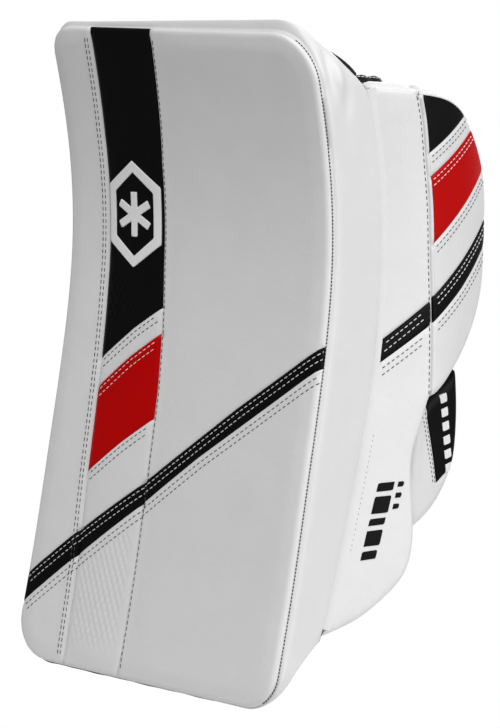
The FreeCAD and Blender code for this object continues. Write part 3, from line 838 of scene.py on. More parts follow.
def edge_binding():
    """Black tape folded over the rear edge of the side wall, except where the side wing joins it."""
    outline = board_outline(0, 2.0)
    normal = outline_normals(outline)
    joined = (outline[:, 0] > 90) & (outline[:, 1] > -149) & (outline[:, 1] < 165)
    joined |= (outline[:, 0] > 55) & (outline[:, 1] < -140)
    first = np.argmax(joined & ~np.roll(joined, -1)) + 1
    order = np.roll(np.arange(len(outline)), -first)
    order = order[~joined[order]]
    outline, normal = outline[order], normal[order]
    z = outline[:, 1]
    s = path_length(outline)
    wave = 0.5 * np.sin(s / 7.0) + 0.4 * np.sin(s / 3.1)
    out = 0.5 * wave - 0.6
    y = cover_depth(z) + 0.4 + 0.9 * wave
    path = np.stack([outline[:, 0] + normal[:, 0] * out, y, z + normal[:, 1] * out], 1)
    dress(tube("edge_binding", path, 1.3, NYLON, "board", 8, round_ends=True), "black_nylon")


def wall_wrinkles(x, y, z):
    """Soft folds in the side wall near the top corner on the thumb side."""
    total = np.zeros_like(z)
    folds = [((180, -89), (152, -82), 3.4, -1.3), ((176, -81), (150, -73), 3.2, 1.5),
             ((166, -72), (140, -68), 4.0, -1.0), ((160, -88), (118, -80), 5.0, 0.6)]
    for start, end, width, height in folds:
        d = np.subtract(end, start)
        p = np.stack([z, y], 1) - start
        t = np.clip((p @ d) / (d @ d), 0, 1)
        away = np.linalg.norm(p - t[:, None] * d, axis=1)
        total += height * np.exp(-(away / width) ** 2) * np.sin(np.pi * np.clip(t, 0.05, 0.95))
    return np.where(x > 60, total, 0)


# ---------------------------------------------------------------- side wing and flap

def wing_plain_x(y, z):
    return HALF_WIDTH + (y - rear_y(z) - WING_GAP) * FLARE


def flap_plain_x(y, z):
    root = seam_y(np.clip(z, -15, 158))
    start = wing_plain_x(root, np.clip(z, -15, 156.5))
    t = np.clip(y - root - SEAM_GAP / 2, -6, 90)
    angle = np.arcsin(math.sin(FLAP_START) - t / FLAP_RADIUS)
    return start + FLAP_RADIUS * (np.cos(angle) - math.cos(FLAP_START))


def wing_edges():
    """The wing's free edge (top and lobe) and its two folds (the crease and the seam), as (y, z) paths."""
    z = np.arange(157.0, -147, -3.0)
    crease = np.stack([rear_y(z) + WING_GAP, z], 1)[::-1]
    seam_z = np.arange(157.0, -15.1, -2.5)
    seam = np.stack([seam_y(seam_z) - SEAM_GAP / 2, seam_z], 1)
    lobe = smooth_path(LOBE_EDGE, 2.5)
    top = resample([(crease[-1][0], WING_TOP_Z), (seam[0][0], WING_TOP_Z)], 2.5)
    return crease, top, seam, lobe


def flap_edges():
    seam_z = np.arange(157.0, -14.9, -2.5)
    seam = np.stack([seam_y(seam_z) + SEAM_GAP / 2, seam_z], 1)
    lower = smooth_path(FLAP_LOWER, 2.5)
    upper = smooth_path(FLAP_UPPER, 2.5)
    return seam, lower, upper


CREASE, WING_TOP, SEAM_FRONT, LOBE = wing_edges()
SEAM_BACK, FLAP_LOW, FLAP_HIGH = flap_edges()
WING_OUTLINE = np.vstack([CREASE, WING_TOP, SEAM_FRONT[1:], LOBE[1:]])
FLAP_OUTLINE = np.vstack([SEAM_BACK[::-1], FLAP_HIGH[::-1][1:], FLAP_LOW[::-1][1:-1]])


def side_surface(plain, free, folds, lines, out):
    """A padded side panel: free edges rolled over, folds rounded by their own radius, seams sunk.

    Each fold is (path, radius, tuck): tuck draws that edge of the panel back, so it has room to bend."""
    def surface(flat):
        y, z = flat[:, 0], flat[:, 1]
        free_d = np.min([distance(flat, path) for path in free], axis=0)
        folds_d = [distance(flat, path) for path, _, _ in folds]
        drop = rolled(free_d, np.where(z > 145, FREE_ROLL * 0.6, FREE_ROLL))
        for fold_d, (_, radius, tuck) in zip(folds_d, folds):
            drop = drop + rolled(fold_d, radius) * 0.8
            y = y + tuck * np.exp(-fold_d / 6)
        drop = np.minimum(drop, WING_THICKNESS / 2 - 0.3)
        lift = 0.9 * (1 - np.exp(-np.minimum(free_d, np.min(folds_d, axis=0)) / 14))
        for line in lines:
            away = np.abs(z - across(line)(y)) * 0.82
            lift = lift - 0.45 * np.exp(-(away / 0.9) ** 2) * np.clip(free_d / 3, 0, 1)
        x = plain(y, z)
        x = x - drop + lift if out else x - WING_THICKNESS + drop - lift
        return np.stack([x, y, z], 1)
    return surface


WING_LINES = [WING_STRIPE_TOP, WING_STRIPE_BOTTOM]
FLAP_LINES = [FLAP_BLACK_BOTTOM, FLAP_RED_TOP, FLAP_RED_BOTTOM, FLAP_STRIPE_TOP, FLAP_STRIPE_BOTTOM]
WING_FREE, FLAP_FREE = [WING_TOP, LOBE], [FLAP_LOW, FLAP_HIGH]
WING_BACK_FOLDS = [(CREASE, FOLD_ROLL, 1.6), (SEAM_FRONT, FOLD_ROLL, -1.6)]
wing_outer = side_surface(wing_plain_x, WING_FREE, [(CREASE, 1.0, 0), (SEAM_FRONT, 1.2, 0)], WING_LINES, True)
wing_inner = side_surface(wing_plain_x, WING_FREE, WING_BACK_FOLDS, [], False)
flap_outer = side_surface(flap_plain_x, FLAP_FREE, [(SEAM_BACK, 1.2, 0)], FLAP_LINES, True)
flap_inner = side_surface(flap_plain_x, FLAP_FREE, [(SEAM_BACK, FOLD_ROLL, 1.6)], [], False)


def panel_back(name, outline, surface, body, *nodes):
    """The nylon back of a side panel, which stands for its foam too."""
    piece = sheet_solid(name, *triangulate(outline, [], 4.0), surface, (SKIN, 0, 0), NYLON, body)
    dress(piece, "black_nylon", *nodes, fill=0.8)


def make_wing():
    cuts = [band_path(line, -66, 16) for line in WING_LINES]
    points, triangles = triangulate(WING_OUTLINE, cuts, 3.2)
    regions = [
        ("wing_upper", above(WING_STRIPE_TOP), "white_leather", "wing_upper_panel", "wing_stiffener"),
        ("wing_stripe_band", between(WING_STRIPE_BOTTOM, WING_STRIPE_TOP), "black_leather", "wing_stripe"),
        ("wing_lobe", below(WING_STRIPE_BOTTOM), "white_leather", "wing_lobe_panel"),
    ]
    regions_to_pieces(points, triangles, regions, wing_outer, (-SKIN, 0, 0), "side_wing")
    panel_back("wing_inside", WING_OUTLINE, wing_inner, "side_wing", "wing_lining", "wing_core")


def make_flap():
    cuts = [band_path(line, -34, 72) for line in FLAP_LINES]
    piping_line = SEAM_BACK + [PIPING, 0]
    edge_line = FLAP_HIGH[1:-1] - outline_normals(FLAP_HIGH)[1:-1] * WHITE_EDGE
    cuts.append(piping_line[(piping_line[:, 1] > -13) & (piping_line[:, 1] < 155)])
    cuts.append(edge_line[edge_line[:, 1] > 112])
    points, triangles = triangulate(FLAP_OUTLINE, cuts, 3.2)
    piping = lambda p: p[:, 0] < seam_y(p[:, 1]) + SEAM_GAP / 2 + PIPING
    edge = lambda p: (distance(p, FLAP_HIGH) < WHITE_EDGE) & above(FLAP_BLACK_BOTTOM)(p)
    whole = lambda p: ~piping(p) & ~edge(p)
    white, black = "white_leather", "black_leather"
    regions = [
        ("flap_black", both(whole, above(FLAP_BLACK_BOTTOM)), black, "flap_black_panel"),
        ("flap_edge", lambda p: edge(p) & ~piping(p), white),
        ("flap_band", both(whole, between(FLAP_RED_TOP, FLAP_BLACK_BOTTOM)), white, "flap_white_band"),
        ("flap_red", both(whole, between(FLAP_RED_BOTTOM, FLAP_RED_TOP)), "red_leather", "flap_red_panel"),
        ("flap_middle", both(whole, between(FLAP_STRIPE_TOP, FLAP_RED_BOTTOM)), white, "flap_middle_panel"),
        ("flap_stripe_band", between(FLAP_STRIPE_BOTTOM, FLAP_STRIPE_TOP), black, "flap_stripe"),
        ("flap_lower", below(FLAP_STRIPE_BOTTOM), white, "flap_lower_panel"),
        ("flap_piping", both(piping, above(FLAP_STRIPE_TOP)), white),
    ]
    regions_to_pieces(points, triangles, regions, flap_outer, (-SKIN, 0, 0), "wing_flap")
    panel_back("flap_inside", FLAP_OUTLINE, flap_inner, "wing_flap", "flap_lining", "flap_core")


def side_stitching():
    wing = lambda line, amount: clip_path(band_path(line, -66, 16, amount, 1.0), WING_OUTLINE, 3.5)
    flap = lambda line, amount: clip_path(band_path(line, -34, 72, amount, 1.0), FLAP_OUTLINE, 3.0)
    dark = [wing(WING_STRIPE_BOTTOM, -3.0), wing(WING_STRIPE_BOTTOM, -6.2)]
    pale = [wing(WING_STRIPE_TOP, -2.6), wing(WING_STRIPE_TOP, -6.0)]
    dark.append(clip_path(SEAM_FRONT - [1.4, 0], WING_OUTLINE, 1.0))
    crease = CREASE[(CREASE[:, 1] > -104) & (CREASE[:, 1] < -34)] + [5.0, 0]
    sew("wing_stitches", dark, pale, wing_outer, "side_wing")
    holes = on_surface([crease], wing_outer, (1, 0, 0))
    stitches("crease_stitches", holes, GREY_THREAD, "side_wing", length=0.7, gap=2.3, radius=0.22)
    dark = [flap(line, amount) for line in (FLAP_BLACK_BOTTOM, FLAP_RED_BOTTOM, FLAP_STRIPE_BOTTOM)
            for amount in (-2.6, -5.8)]
    pale = [flap(line, amount) for line in (FLAP_RED_TOP, FLAP_STRIPE_TOP) for amount in (-2.6, -5.8)]
    sew("flap_stitches", dark, pale, flap_outer, "wing_flap")


def sew(name, dark, pale, surface, body):
    out = (1, 0, 0)
    stitches(name + "_dark", on_surface(dark, surface, out), DARK_THREAD, body)
    stitches(name + "_pale", on_surface(pale, surface, out), PALE_THREAD, body)


def clip_path(path, outline, margin):
    """The part of a path that lies inside an outline, a margin away from it."""
    keep = inside(path, outline) & (distance(path, closed(outline)) > margin)
    return path[keep]


# ---------------------------------------------------------------- rims, folds and prints of the side wing

def rim_wall(name, outline, folds, outer, inner, body):
    """The leather edge that joins a panel's outer and inner sides: full at free edges, flat at folds."""
    area = np.sum(outline[:, 0] * np.roll(outline[:, 1], -1) - np.roll(outline[:, 0], -1) * outline[:, 1])
    outline = outline if area > 0 else outline[::-1]
    normal = outline_normals(outline)
    a, b = outer(outline), inner(outline)
    gap = np.abs(a[:, 0] - b[:, 0])
    domed_top = 2.0 * np.clip((outline[:, 1] - 130) / 24, 0, 1) * np.clip(normal[:, 1] * 1.5, 0, 1)
    free = np.clip(np.min([distance(outline, path) for path in folds], axis=0) / 6, 0, 1)
    full = (1.3 + domed_top) * free
    a[:, 0] -= np.where(gap > 2, 0.5, -0.2)
    b[:, 0] += np.where(gap > 2, 0.5, -0.2)
    loops = []
    for depth, shares in ((0.0, np.linspace(0, 1, 7)), (-1.1, np.linspace(1, 0, 4))):
        for t in shares:
            bulge = depth + math.sin(math.pi * t) * full
            loop = a * (1 - t) + b * t
            loop[:, 1:] += normal * bulge[:, None]
            loops.append(loop)
    dress(loft(name, loops, WHITE, body, wrap=True), "white_leather")


def fold_strips(name, crease, x_of, half_width, depth, bodies, material, inward=-1):
    """Short lengths of leather along a crease, each shaped to follow it."""
    count = max(1, int(round(path_length(crease)[-1] / 24)))
    ways = right_of(crease)
    ways *= np.where(ways[:, :1] < 0, -1, 1)
    shares = np.linspace(-1, 1, 7)
    ring_places = [(t, 0.0) for t in shares] + [(t, 1.0) for t in shares[::-1]]
    for k, part in enumerate(np.array_split(np.arange(len(crease)), count)):
        low, high = part[0], min(part[-1] + 1, len(crease) - 1)
        line = crease[low:high + 1]
        loops = []
        for place, way in zip(line, ways[low:high + 1]):
            ring = []
            for t, thick in ring_places:
                flat = place + way * half_width * t
                ring.append((x_of(*flat) + inward * (depth * (1 - t * t) + thick), *flat))
            loops.append(np.array(ring))
        piece = loft("%s_%02d" % (name, k), loops, material, bodies[0])
        piece.data.set_sharp_from_angle(angle=math.radians(50))
        piece.parent = None
        middle, way = line.mean(0), ways[low:high + 1].mean(0)
        start, end = middle - way * half_width, middle + way * half_width
        x = float(x_of(*middle))
        tuple(np.array([x, *start]) * MM)
        tuple(np.array([x, *end]) * MM)
        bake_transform(piece)


def wing_folds():
    z = np.arange(-144.0, WING_TOP_Z + 1, 3.0)
    crease = np.stack([rear_y(z) + WING_GAP / 2, z], 1)

    def valley(y, z):
        t = (y - float(rear_y(z)) - WING_GAP / 2) / CREASE_STRIP
        return HALF_WIDTH + 0.35 + 0.28 * t + 0.42 * t * t

    bodies = ("board", "side_wing")
    fold_strips("crease_fold", crease, valley, CREASE_STRIP, 0, bodies, WHITE)
    behind = lambda y, z: HALF_WIDTH - WING_THICKNESS + 2.6
    fold_strips("crease_lining", crease, behind, 4.6, 1.5, bodies, NYLON)
    seam = np.stack([(SEAM_FRONT[:, 0] + SEAM_BACK[:, 0]) / 2, SEAM_FRONT[:, 1]], 1)
    seam = seam[(seam[:, 1] < 155) & (seam[:, 1] > -12)][::-1]
    bodies = ("side_wing", "wing_flap")
    groove = lambda y, z: float(flap_plain_x(np.array(y), np.array(z))) - 0.9
    fold_strips("seam_fold", seam, groove, 1.6, 0.5, bodies, WHITE)
    groove_in = lambda y, z: float(flap_plain_x(np.array(y), np.array(z))) - WING_THICKNESS + 3.4
    fold_strips("seam_lining", seam, groove_in, 4.6, 0.8, bodies, NYLON, 1)


def wing_print():
    """Plain slanted bars printed on the lobe, in a row that runs along it."""
    start, way = np.array([-38.5, -106.0]), np.array([0.26, 0.966])
    side = np.array([way[1], -way[0]])

    def bar(along, offset, length, width, slant):
        corners = ((0, 0), (width, slant), (width, slant + length), (0, length))
        return [start + way * (along + b) + side * (offset + a) for a, b in corners], None

    large = ((0, 5.0, 8.5), (8, 9.0, 9.0), (20, 4.0, 9.0), (27, 10.0, 9.5), (40, 5.0, 9.5))
    bars = [bar(along, 0, length, width, 3.4) for along, length, width in large]
    bars += [bar(along, 12, 3.0, 3.5, 1.2) for along in (33.0, 39.5, 46.0)]
    raised = moved(wing_outer, [0.25, 0, 0])
    dress(decal("lobe_bars", bars, raised, (-0.5, 0, 0), BLACK, "side_wing", 1.5), "black_leather")


# ---------------------------------------------------------------- thumb

GUARD_OUTER_X, GUARD_INNER_X = 106.0, 93.5
GUARD_FRONT = [(11, -20.5), (6, -33), (3.5, -48), (3, -68), (5, -84), (10.5, -92.5)]
GUARD_REAR = [(10.5, -92.5), (24.5, -84.5), (38, -72), (47, -54), (48.5, -38), (47.5, -20), (44, 1)]
GUARD_TOP = [(44, 1), (31, -8), (11, -20.5)]
STRIP_EDGE = [(15, -9), (16.5, -27), (28.8, -65.7), (41, -58), (56, -49)]
THUMB_BASE = np.array([68.0, 24, 8])
THUMB_TIP = np.array([80.0, 34, -68])
THUMB_RADIUS = 11.5


def guard_outline():
    front = smooth_path(GUARD_FRONT, 2.0)
    rear = smooth_path(GUARD_REAR, 2.0)
    top = resample(GUARD_TOP, 2.0)
    return np.vstack([front[:-1], rear[:-1], top[:-1]])


GUARD_OUTLINE = guard_outline()


def guard_outer(flat):
    y, z = flat[:, 0], flat[:, 1]
    d = distance(flat, closed(GUARD_OUTLINE))
    x = GUARD_OUTER_X + 1.0 - rolled(d, 7.0) * 0.86
    x += 0.7 * np.exp(-(((y - 22) / 7) ** 2 + ((z + 60) / 22) ** 2))
    edge = distance(flat, np.array(STRIP_EDGE, float))
    return np.stack([x - 0.5 * np.exp(-(edge / 0.9) ** 2), y, z], 1)


def guard_inner(flat):
    d = distance(flat, closed(GUARD_OUTLINE))
    return np.stack([GUARD_INNER_X + rolled(d, 7.0) * 0.86, flat[:, 0], flat[:, 1]], 1)


def thumb_guard():
    cuts = [resample(STRIP_EDGE, 2.0)]
    points, triangles = triangulate(GUARD_OUTLINE, cuts, 2.4)
    guard = sheet_solid("thumb_guard_cover", points, triangles, guard_outer, guard_inner, WHITE, "thumb")
    dress(guard, "white_leather", "thumb_guard", fill=0.7)
    zone = np.array(STRIP_EDGE + [(56, 20), (15, 20)], float)
    chosen = triangles[inside(points[triangles].mean(1), zone)]
    raised = moved(guard_outer, [0.45, 0, 0])
    strip = sheet_solid("thumb_band", points, chosen, raised, (-0.9, 0, 0), BLACK, "thumb")
    dress(strip, "black_leather", "thumb_strip")
    dashes = []
    for k in range(6):
        z = -14.5 - 8.2 * k
        y = 26.5 + 1.9 * k
        dashes.append(([(y, z), (y + 6.0, z + 1.4), (y + 7.2, z - 3.6), (y + 1.2, z - 5.0)], None))
    printed = moved(raised, [0.3, 0, 0])
    dress(decal("thumb_marks", dashes, printed, (-0.5, 0, 0), PRINT, "thumb"), "grey_print")
    edge = np.array(STRIP_EDGE[:3], float)
    rows = [clip_path(resample(edge - [shift, 0], 1.0), GUARD_OUTLINE, 2.0) for shift in (1.8, 4.0)]
    rows = on_surface(rows, guard_outer, (1, 0, 0))
    stitches("thumb_stitches", rows, DARK_THREAD, "thumb", length=1.7, gap=1.1)


def stall(name, path, radius, body, node_name):
    """A glove finger: a soft tube with an open mouth, side seams and a rounded tip."""
    start_side = (0, 1, 0)

    def width(t, angles):
        away = [np.mod(angles - a + math.pi, 2 * math.pi) - math.pi for a in (0.6, 2.54)]
        seams = sum(np.exp(-(a / 0.12) ** 2) for a in away)
        wrinkle = 0.022 * np.sin(t * 46) * np.maximum(np.cos(angles + math.pi / 2), 0)
        soft = 0.012 * np.sin(t * 17 + 3 * np.sin(angles))
        return radius * (0.955 + 0.04 * seams + wrinkle + soft)

    outer = tube_loops(path, width, 32, start_side)
    inner = tube_loops(path[:6], radius - 1.8, 32, start_side)
    tip = domed(outer, path[-1] - path[-2], False, 1.0)
    dress(loft(name, inner[::-1] + outer + tip, PALM, body), "palm_leather", node_name)


def fingers():
    """Four stalls, each bent once, and the cloth that joins each one to the glove at its knuckle."""
    bend, r = math.radians(70), 22.0
    for k, (name, tip) in enumerate((("index", 20.0), ("middle", 26.0), ("ring", 22.0), ("little", 14.0))):
        x = 23.2 * (1.5 - k)
        straight = [(x, 0, z) for z in np.linspace(-48, -80, 13)]
        turn = [(x, r - r * math.cos(a), -80 - r * math.sin(a)) for a in np.linspace(0, bend, 12)[1:]]
        end = np.array(turn[-1]) + np.outer(np.linspace(0, tip, 9)[1:], [0, math.sin(bend), -math.cos(bend)])
        path = np.vstack([straight, turn, end])
        body = name + "_finger"
        stall("stall_" + name, path, 10.8, body, "finger_" + name)
        sleeve_path = np.array([(x, 0, z) for z in np.linspace(-36, -57, 12)])
        folds = lambda t, angles: 10.9 + 0.45 * np.cos(t * 4 * math.pi)
        sleeve = sleeve_piece("sleeve_" + name, sleeve_path, folds, 9.8)
        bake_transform(sleeve)


def sleeve_piece(name, path, radius, inner_radius):
    """A short open sleeve with a wall, on no body."""
    outer = tube_loops(path, radius, 28)
    inner = tube_loops(path, inner_radius, 28)
    piece = loft(name, outer + inner[::-1], NYLON, "board", wrap=True)
    piece.parent = None
    return piece


def thumb_stall():
    path = THUMB_BASE + np.outer(np.linspace(0, 1, 30), THUMB_TIP - THUMB_BASE)
    stall("stall_thumb", path, THUMB_RADIUS, "thumb", "thumb_stall")
    bridge = smooth_path([(44, 8, 22), (56, 15, 18), (66, 22, 10), (69.5, 25.2, -3)], 2.0)
    folds = lambda t, angles: 12.1 + 0.5 * np.cos(t * 5 * math.pi)
    sleeve = sleeve_piece("sleeve_thumb", bridge, folds, 10.6)
    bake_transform(sleeve)


def web_pad():
    """The pad between the thumb stall and its guard: rounded blocks of one outline in different sizes."""
    turns = np.linspace(0, 2 * math.pi, 36, endpoint=False)
    square = np.stack([np.copysign(np.abs(f(turns)) ** 0.45, f(turns)) for f in (np.cos, np.sin)], 1)
    loops = []
    for x, share in ((84.0, 0.55), (85.5, 0.8), (88.5, 0.95), (91.5, 0.95), (93.3, 0.9), (94.0, 0.75)):
        loops.append(np.column_stack([np.full(36, x), square * [9 * share, 22 * share] + [33, -40]]))
    dress(loft("thumb_bridge_pad", loops, NYLON, "thumb"), "foam", "thumb_web", fill=0.7)


# ---------------------------------------------------------------- glove, cuff and strap

def rounded_loop(half_x, low, high, radius, count=96):
    """A rectangle with rounded corners in (x, y), evenly spaced, from the middle of the thumb side round."""
    middle = (low + high) / 2
    points = [(half_x, middle)]
    for turn, (sx, sy) in enumerate([(1, 1), (-1, 1), (-1, -1), (1, -1)]):
        cx = sx * (half_x - radius)
        cy = high - radius if sy > 0 else low + radius
        for k in range(9):
            a = math.radians(90 * turn + 11.25 * k)
            points.append((cx + radius * math.cos(a), cy + radius * math.sin(a)))
    return even(points + [(half_x, middle)], count, False)


def glove_shell():
    """The glove round the hand: a nylon back and a suede palm, sewn together along both sides."""
    stations = np.linspace(-47, 70, 40)
    shapes, hollows = [], []
    for z in stations:
        end = np.clip((-18 - z) / 29, 0, 1) ** 2
        half_y = 19 - 7.5 * end
        shapes.append(rounded_loop(50 - 2.5 * end, -half_y, half_y, min(15, half_y - 0.5)))
        hollows.append(rounded_loop(47.8 - 2.5 * end, 2.2 - half_y, half_y - 2.2, min(13, half_y - 2.8)))
    split = 6.0
    on_palm = shapes[len(stations) // 2][:, 1] >= split
    palm_side, back_side = np.where(on_palm)[0], np.where(~on_palm)[0]
    start = np.argmax(np.diff(back_side) > 1) + 1
    back_side = np.roll(back_side, -start)
    for name, chosen, material, node_name, slot, ripple in (
            ("glove_rear", back_side, NYLON, "glove_back", "black_nylon", 0),
            ("glove_palm", palm_side, PALM, "palm", "palm_leather", 0.45)):
        loops = []
        for z, shape, hollow in zip(stations, shapes, hollows):
            out = shape[chosen]
            wave = np.sin(out[:, 0] / 6 + 1.5 * np.sin(z / 11)) * math.sin(math.pi * (z + 47) / 117)
            out[:, 1] += ripple * wave
            loop = np.vstack([out, hollow[chosen][::-1]])
            loops.append(at_height(loop, z))
        dress(loft(name, loops, material, "board"), slot, node_name)
    for side, index in (("thumb_side", palm_side[0]), ("little_side", palm_side[-1])):
        path = np.array([(*shape[index], z) for z, shape in zip(stations, shapes)])
        dress(tube("glove_welt_" + side, path, 0.9, NYLON, "board", 8), "black_nylon")


def at_height(loop, z):
    """A flat (x, y) outline as points at one height."""
    return np.column_stack([loop, np.full(len(loop), z)])


def palm_patch():
    outline = even(closed(rounded_loop(33.5, -38.5, 38.5, 12)), 110, False) + [0, 1]

    def surface(flat):
        d = distance(flat, closed(outline))
        wave = 0.25 * np.sin(flat[:, 0] / 5 + flat[:, 1] / 9)
        return np.stack([flat[:, 0], 20.9 + wave - rolled(d, 1.6), flat[:, 1]], 1)

    points, triangles = triangulate(outline, [], 3.0, (0.5, 1.1, 2.0))
    piece = sheet_solid("palm_layer", points, triangles, surface, (0, -1.6, 0), PALM_DARK, "board")
    dress(piece, "palm_leather", "palm_patch")
    row = even(closed(rounded_loop(31, -36, 36, 10)), 260, False) + [0, 1]
    stitches("palm_stitches", on_surface([closed(row)], surface, (0, 1, 0)), PALE_THREAD, "board")


def inflate(piece, limit, voxel=4.0, pressure=4.0, last_frame=20):
    """Swells a closed piece with a short cloth simulation, no point moving further than limit."""
    scene = bpy.context.scene
    remesh = piece.modifiers.new("remesh", "REMESH")
    remesh.mode = "VOXEL"
    remesh.voxel_size = voxel * MM
    bake_modifiers(piece)
    before = np.array([v.co for v in piece.data.vertices])
    cloth = piece.modifiers.new("cloth", "CLOTH")
    cloth.settings.use_pressure = True
    cloth.settings.uniform_pressure_force = pressure
    cloth.settings.effector_weights.gravity = 0
    cloth.point_cache.frame_start = 1
    cloth.point_cache.frame_end = last_frame
    for frame_number in range(1, last_frame + 1):
        scene.frame_set(frame_number)
    bake_modifiers(piece)
    scene.frame_set(1)
    after = np.array([v.co for v in piece.data.vertices])
    move = after - before
    size = np.linalg.norm(move, axis=1)[:, None]
    move *= np.minimum(1, limit * MM / np.maximum(size, 1e-9))
    for vertex, place in zip(piece.data.vertices, before + move):
        vertex.co = place
    subdivide = piece.modifiers.new("smooth", "SUBSURF")
    subdivide.levels = 1
    bake_modifiers(piece)
    piece.data.polygons.foreach_set("use_smooth", [True] * len(piece.data.polygons))


def bake_modifiers(piece):
    """Replaces a piece's mesh with what its modifiers make of it, and removes them."""
    bpy.context.view_layer.update()
    graph = bpy.context.evaluated_depsgraph_get()
    made = bpy.data.meshes.new_from_object(piece.evaluated_get(graph), depsgraph=graph)
    piece.modifiers.clear()
    piece.data = made


def knuckle_pad():
    """The thick pad between the board and the back of the hand."""
    inset = 2.2
    loops = []
    for z in np.linspace(-46 + inset, 66 - inset, 24):
        low = float(rear_y(z)) + inset + 0.6
        loops.append(at_height(rounded_loop(52 - inset, low, -19.4 - inset * 0.4, 4.0), z))
    piece = loft("knuckle_pad", loops, PAD_NYLON, "board")
    inflate(piece, 5.0)
    dress(piece, "padded_nylon", "hand_pad", fill=0.7)


CUFF_FOOT_Z, CUFF_HEIGHT, CUFF_TOP_Z = 72.0, 84.0, 156.5
ROLL_Z = 162.0


def cuff_section(z, outer):
    """The cuff's outer or inner outline at a height, as CAD has it: wider towards the opening."""
    t = (z - CUFF_FOOT_Z) / CUFF_HEIGHT
    base, top = ((55, -27, 25), (58, -39.5, 31)) if outer else ((47, -19, 17), (43, -24, 15.5))
    half_x, low, high = ((1 - t) * a + t * b for a, b in zip(base, top))
    return rounded_loop(half_x, low, high, 15.0 if outer else 12.0, 160)


def away_from_slit(loop):
    """The part of a cuff outline outside the slit in the palm side, starting at the slit's edge."""
    half = 12.0
    index = np.where((np.abs(loop[:, 0]) >= half) | (loop[:, 1] <= 0))[0]
    start = np.argmax(np.diff(index) > 1) + 1
    return loop[np.roll(index, -start)]


def cuff_wall():
    """The padded cuff: a quilted wall, open at the slit on the palm side."""
    loops = []
    count = 120
    channel = np.abs(np.sin(math.pi * np.linspace(0, 1, count) * 11)) ** 0.5
    for z in np.linspace(CUFF_FOOT_Z, CUFF_TOP_Z, 26):
        outer, inner = (even(away_from_slit(cuff_section(z, side)), count) for side in (True, False))
        normal = right_of(outer)
        end = np.clip(min(z - CUFF_FOOT_Z, CUFF_TOP_Z - z) / 5, 0, 1) ** 0.5
        outer = outer + normal * (1.1 * channel * end - 1.8 * (1 - end) - 0.7)[:, None]
        inner = inner - normal * (0.8 * channel * end - 1.0)[:, None]
        loops.append(at_height(np.vstack([outer, inner[::-1]]), z))
    dress(loft("cuff_padding", loops, NYLON, "board"), "black_nylon", "cuff_wall", fill=0.7)


def cuff_rolls():
    """Two soft rolls round the rim of the cuff, with a pale row of stitches on the outer one."""
    for name, (half_x, low, high), node_name, size in (
            ("cuff_roll_outer", (52.5, -36, 28), "cuff_outer_roll", 5.6),
            ("cuff_roll_inner", (43.4, -26.4, 18.4), "cuff_inner_roll", 5.0)):
        line = even(away_from_slit(rounded_loop(half_x, low, high, 15, 240)), 300)
        path = at_height(line, ROLL_Z)
        tufts = lambda t: 0.72 + 0.3 * np.abs(np.sin(math.pi * 23 * t)) ** 0.45
        soft = lambda t, a: size * (tufts(t) + 0.02 * np.sin(t * 137 + a))
        piece = tube(name, path, soft, PAD_NYLON, "board", 18, round_ends=True)
        dress(piece, "padded_nylon", node_name, fill=0.8)
        if node_name == "cuff_outer_roll":
            roll_stitching(path, size)


def roll_stitching(path, size):
    """One row of stitches on the top of a roll, towards its outer side."""
    out = unit(np.cross(np.gradient(path, axis=0), [0, 0, 1.0]))
    way = out * 0.6 + [0, 0, 0.8]
    row = resample(path + way * size * 1.02, 0.5)
    share, row_share = np.linspace(0, 1, len(way)), np.linspace(0, 1, len(row))
    normals = np.stack([np.interp(row_share, share, way[:, k]) for k in range(3)], 1)
    stitches("cuff_stitches", [(row, normals)], PALE_THREAD, "board")


def cuff_flat(x_range, z_range, start, thickness, name, material, body, edge=0.6, ribs=0.0):
    """A flat soft strip lying along the cuff's palm side."""
    (x0, x1), (z0, z1) = x_range, z_range
    mid_z = (z0 + z1) / 2
    half = ((x1 - x0) / 2, (z1 - z0) / 2)
    shape = rounded_loop(half[0], -half[1], half[1], 2.0, 90) + [(x0 + x1) / 2, mid_z]

    def wall(flat):
        return 25 + (flat[:, 1] - CUFF_FOOT_Z) * 6 / CUFF_HEIGHT + start

    def outer(flat):
        d = distance(flat, closed(shape))
        rib = ribs * np.cos(flat[:, 0] * 2 * math.pi / 3.0)
        return np.stack([flat[:, 0], wall(flat) + thickness - rolled(d, edge) + rib, flat[:, 1]], 1)

    def inner(flat):
        return np.stack([flat[:, 0], wall(flat), flat[:, 1]], 1)

    points, triangles = triangulate(shape, [], 1.6, (0.4, 0.9))
    return sheet_solid(name, points, triangles, outer, inner, material, body), outer


def strap():
    """The closing strap on its hook and loop tape, its pull tab and its sewn end."""
    along = (86, 116)
    loop, _ = cuff_flat((15, 36), along, 0.0, 1.0, "loop_tape", HOOKS, "board", 0.3)
    dress(loop, "hook_and_loop", "loop_patch")
    hook, _ = cuff_flat((15, 36), along, 1.1, 1.0, "hook_tape", HOOKS, "closing_strap", 0.3)
    dress(hook, "hook_and_loop", "hook_patch")
    band, surface = cuff_flat((-38, 38), along, 2.1, 2.6, "strap_band", PAD_NYLON, "closing_strap", 1.2)
    dress(band, "padded_nylon", "wrist_strap")
    tab, _ = cuff_flat((38.2, 52), (92, 110), 2.1, 2.6, "pull_tab", RUBBER, "closing_strap", 1.0, 0.25)
    dress(tab, "rubber_tab", "strap_tab")
    anchor, _ = cuff_flat((-46, -40), along, 0.05, 4.6, "strap_root", NYLON, "board", 1.4)
    dress(anchor, "black_nylon", "strap_anchor")
    rows = [[(-34, z), (34, z)] for z in (89, 113)] + [[(x, 90), (x, 112)] for x in (-34, 13, 34)]
    stitches("strap_stitches", on_surface(rows, surface, (0, 1, 0)), PALE_THREAD, "closing_strap")


# ---------------------------------------------------------------- stage

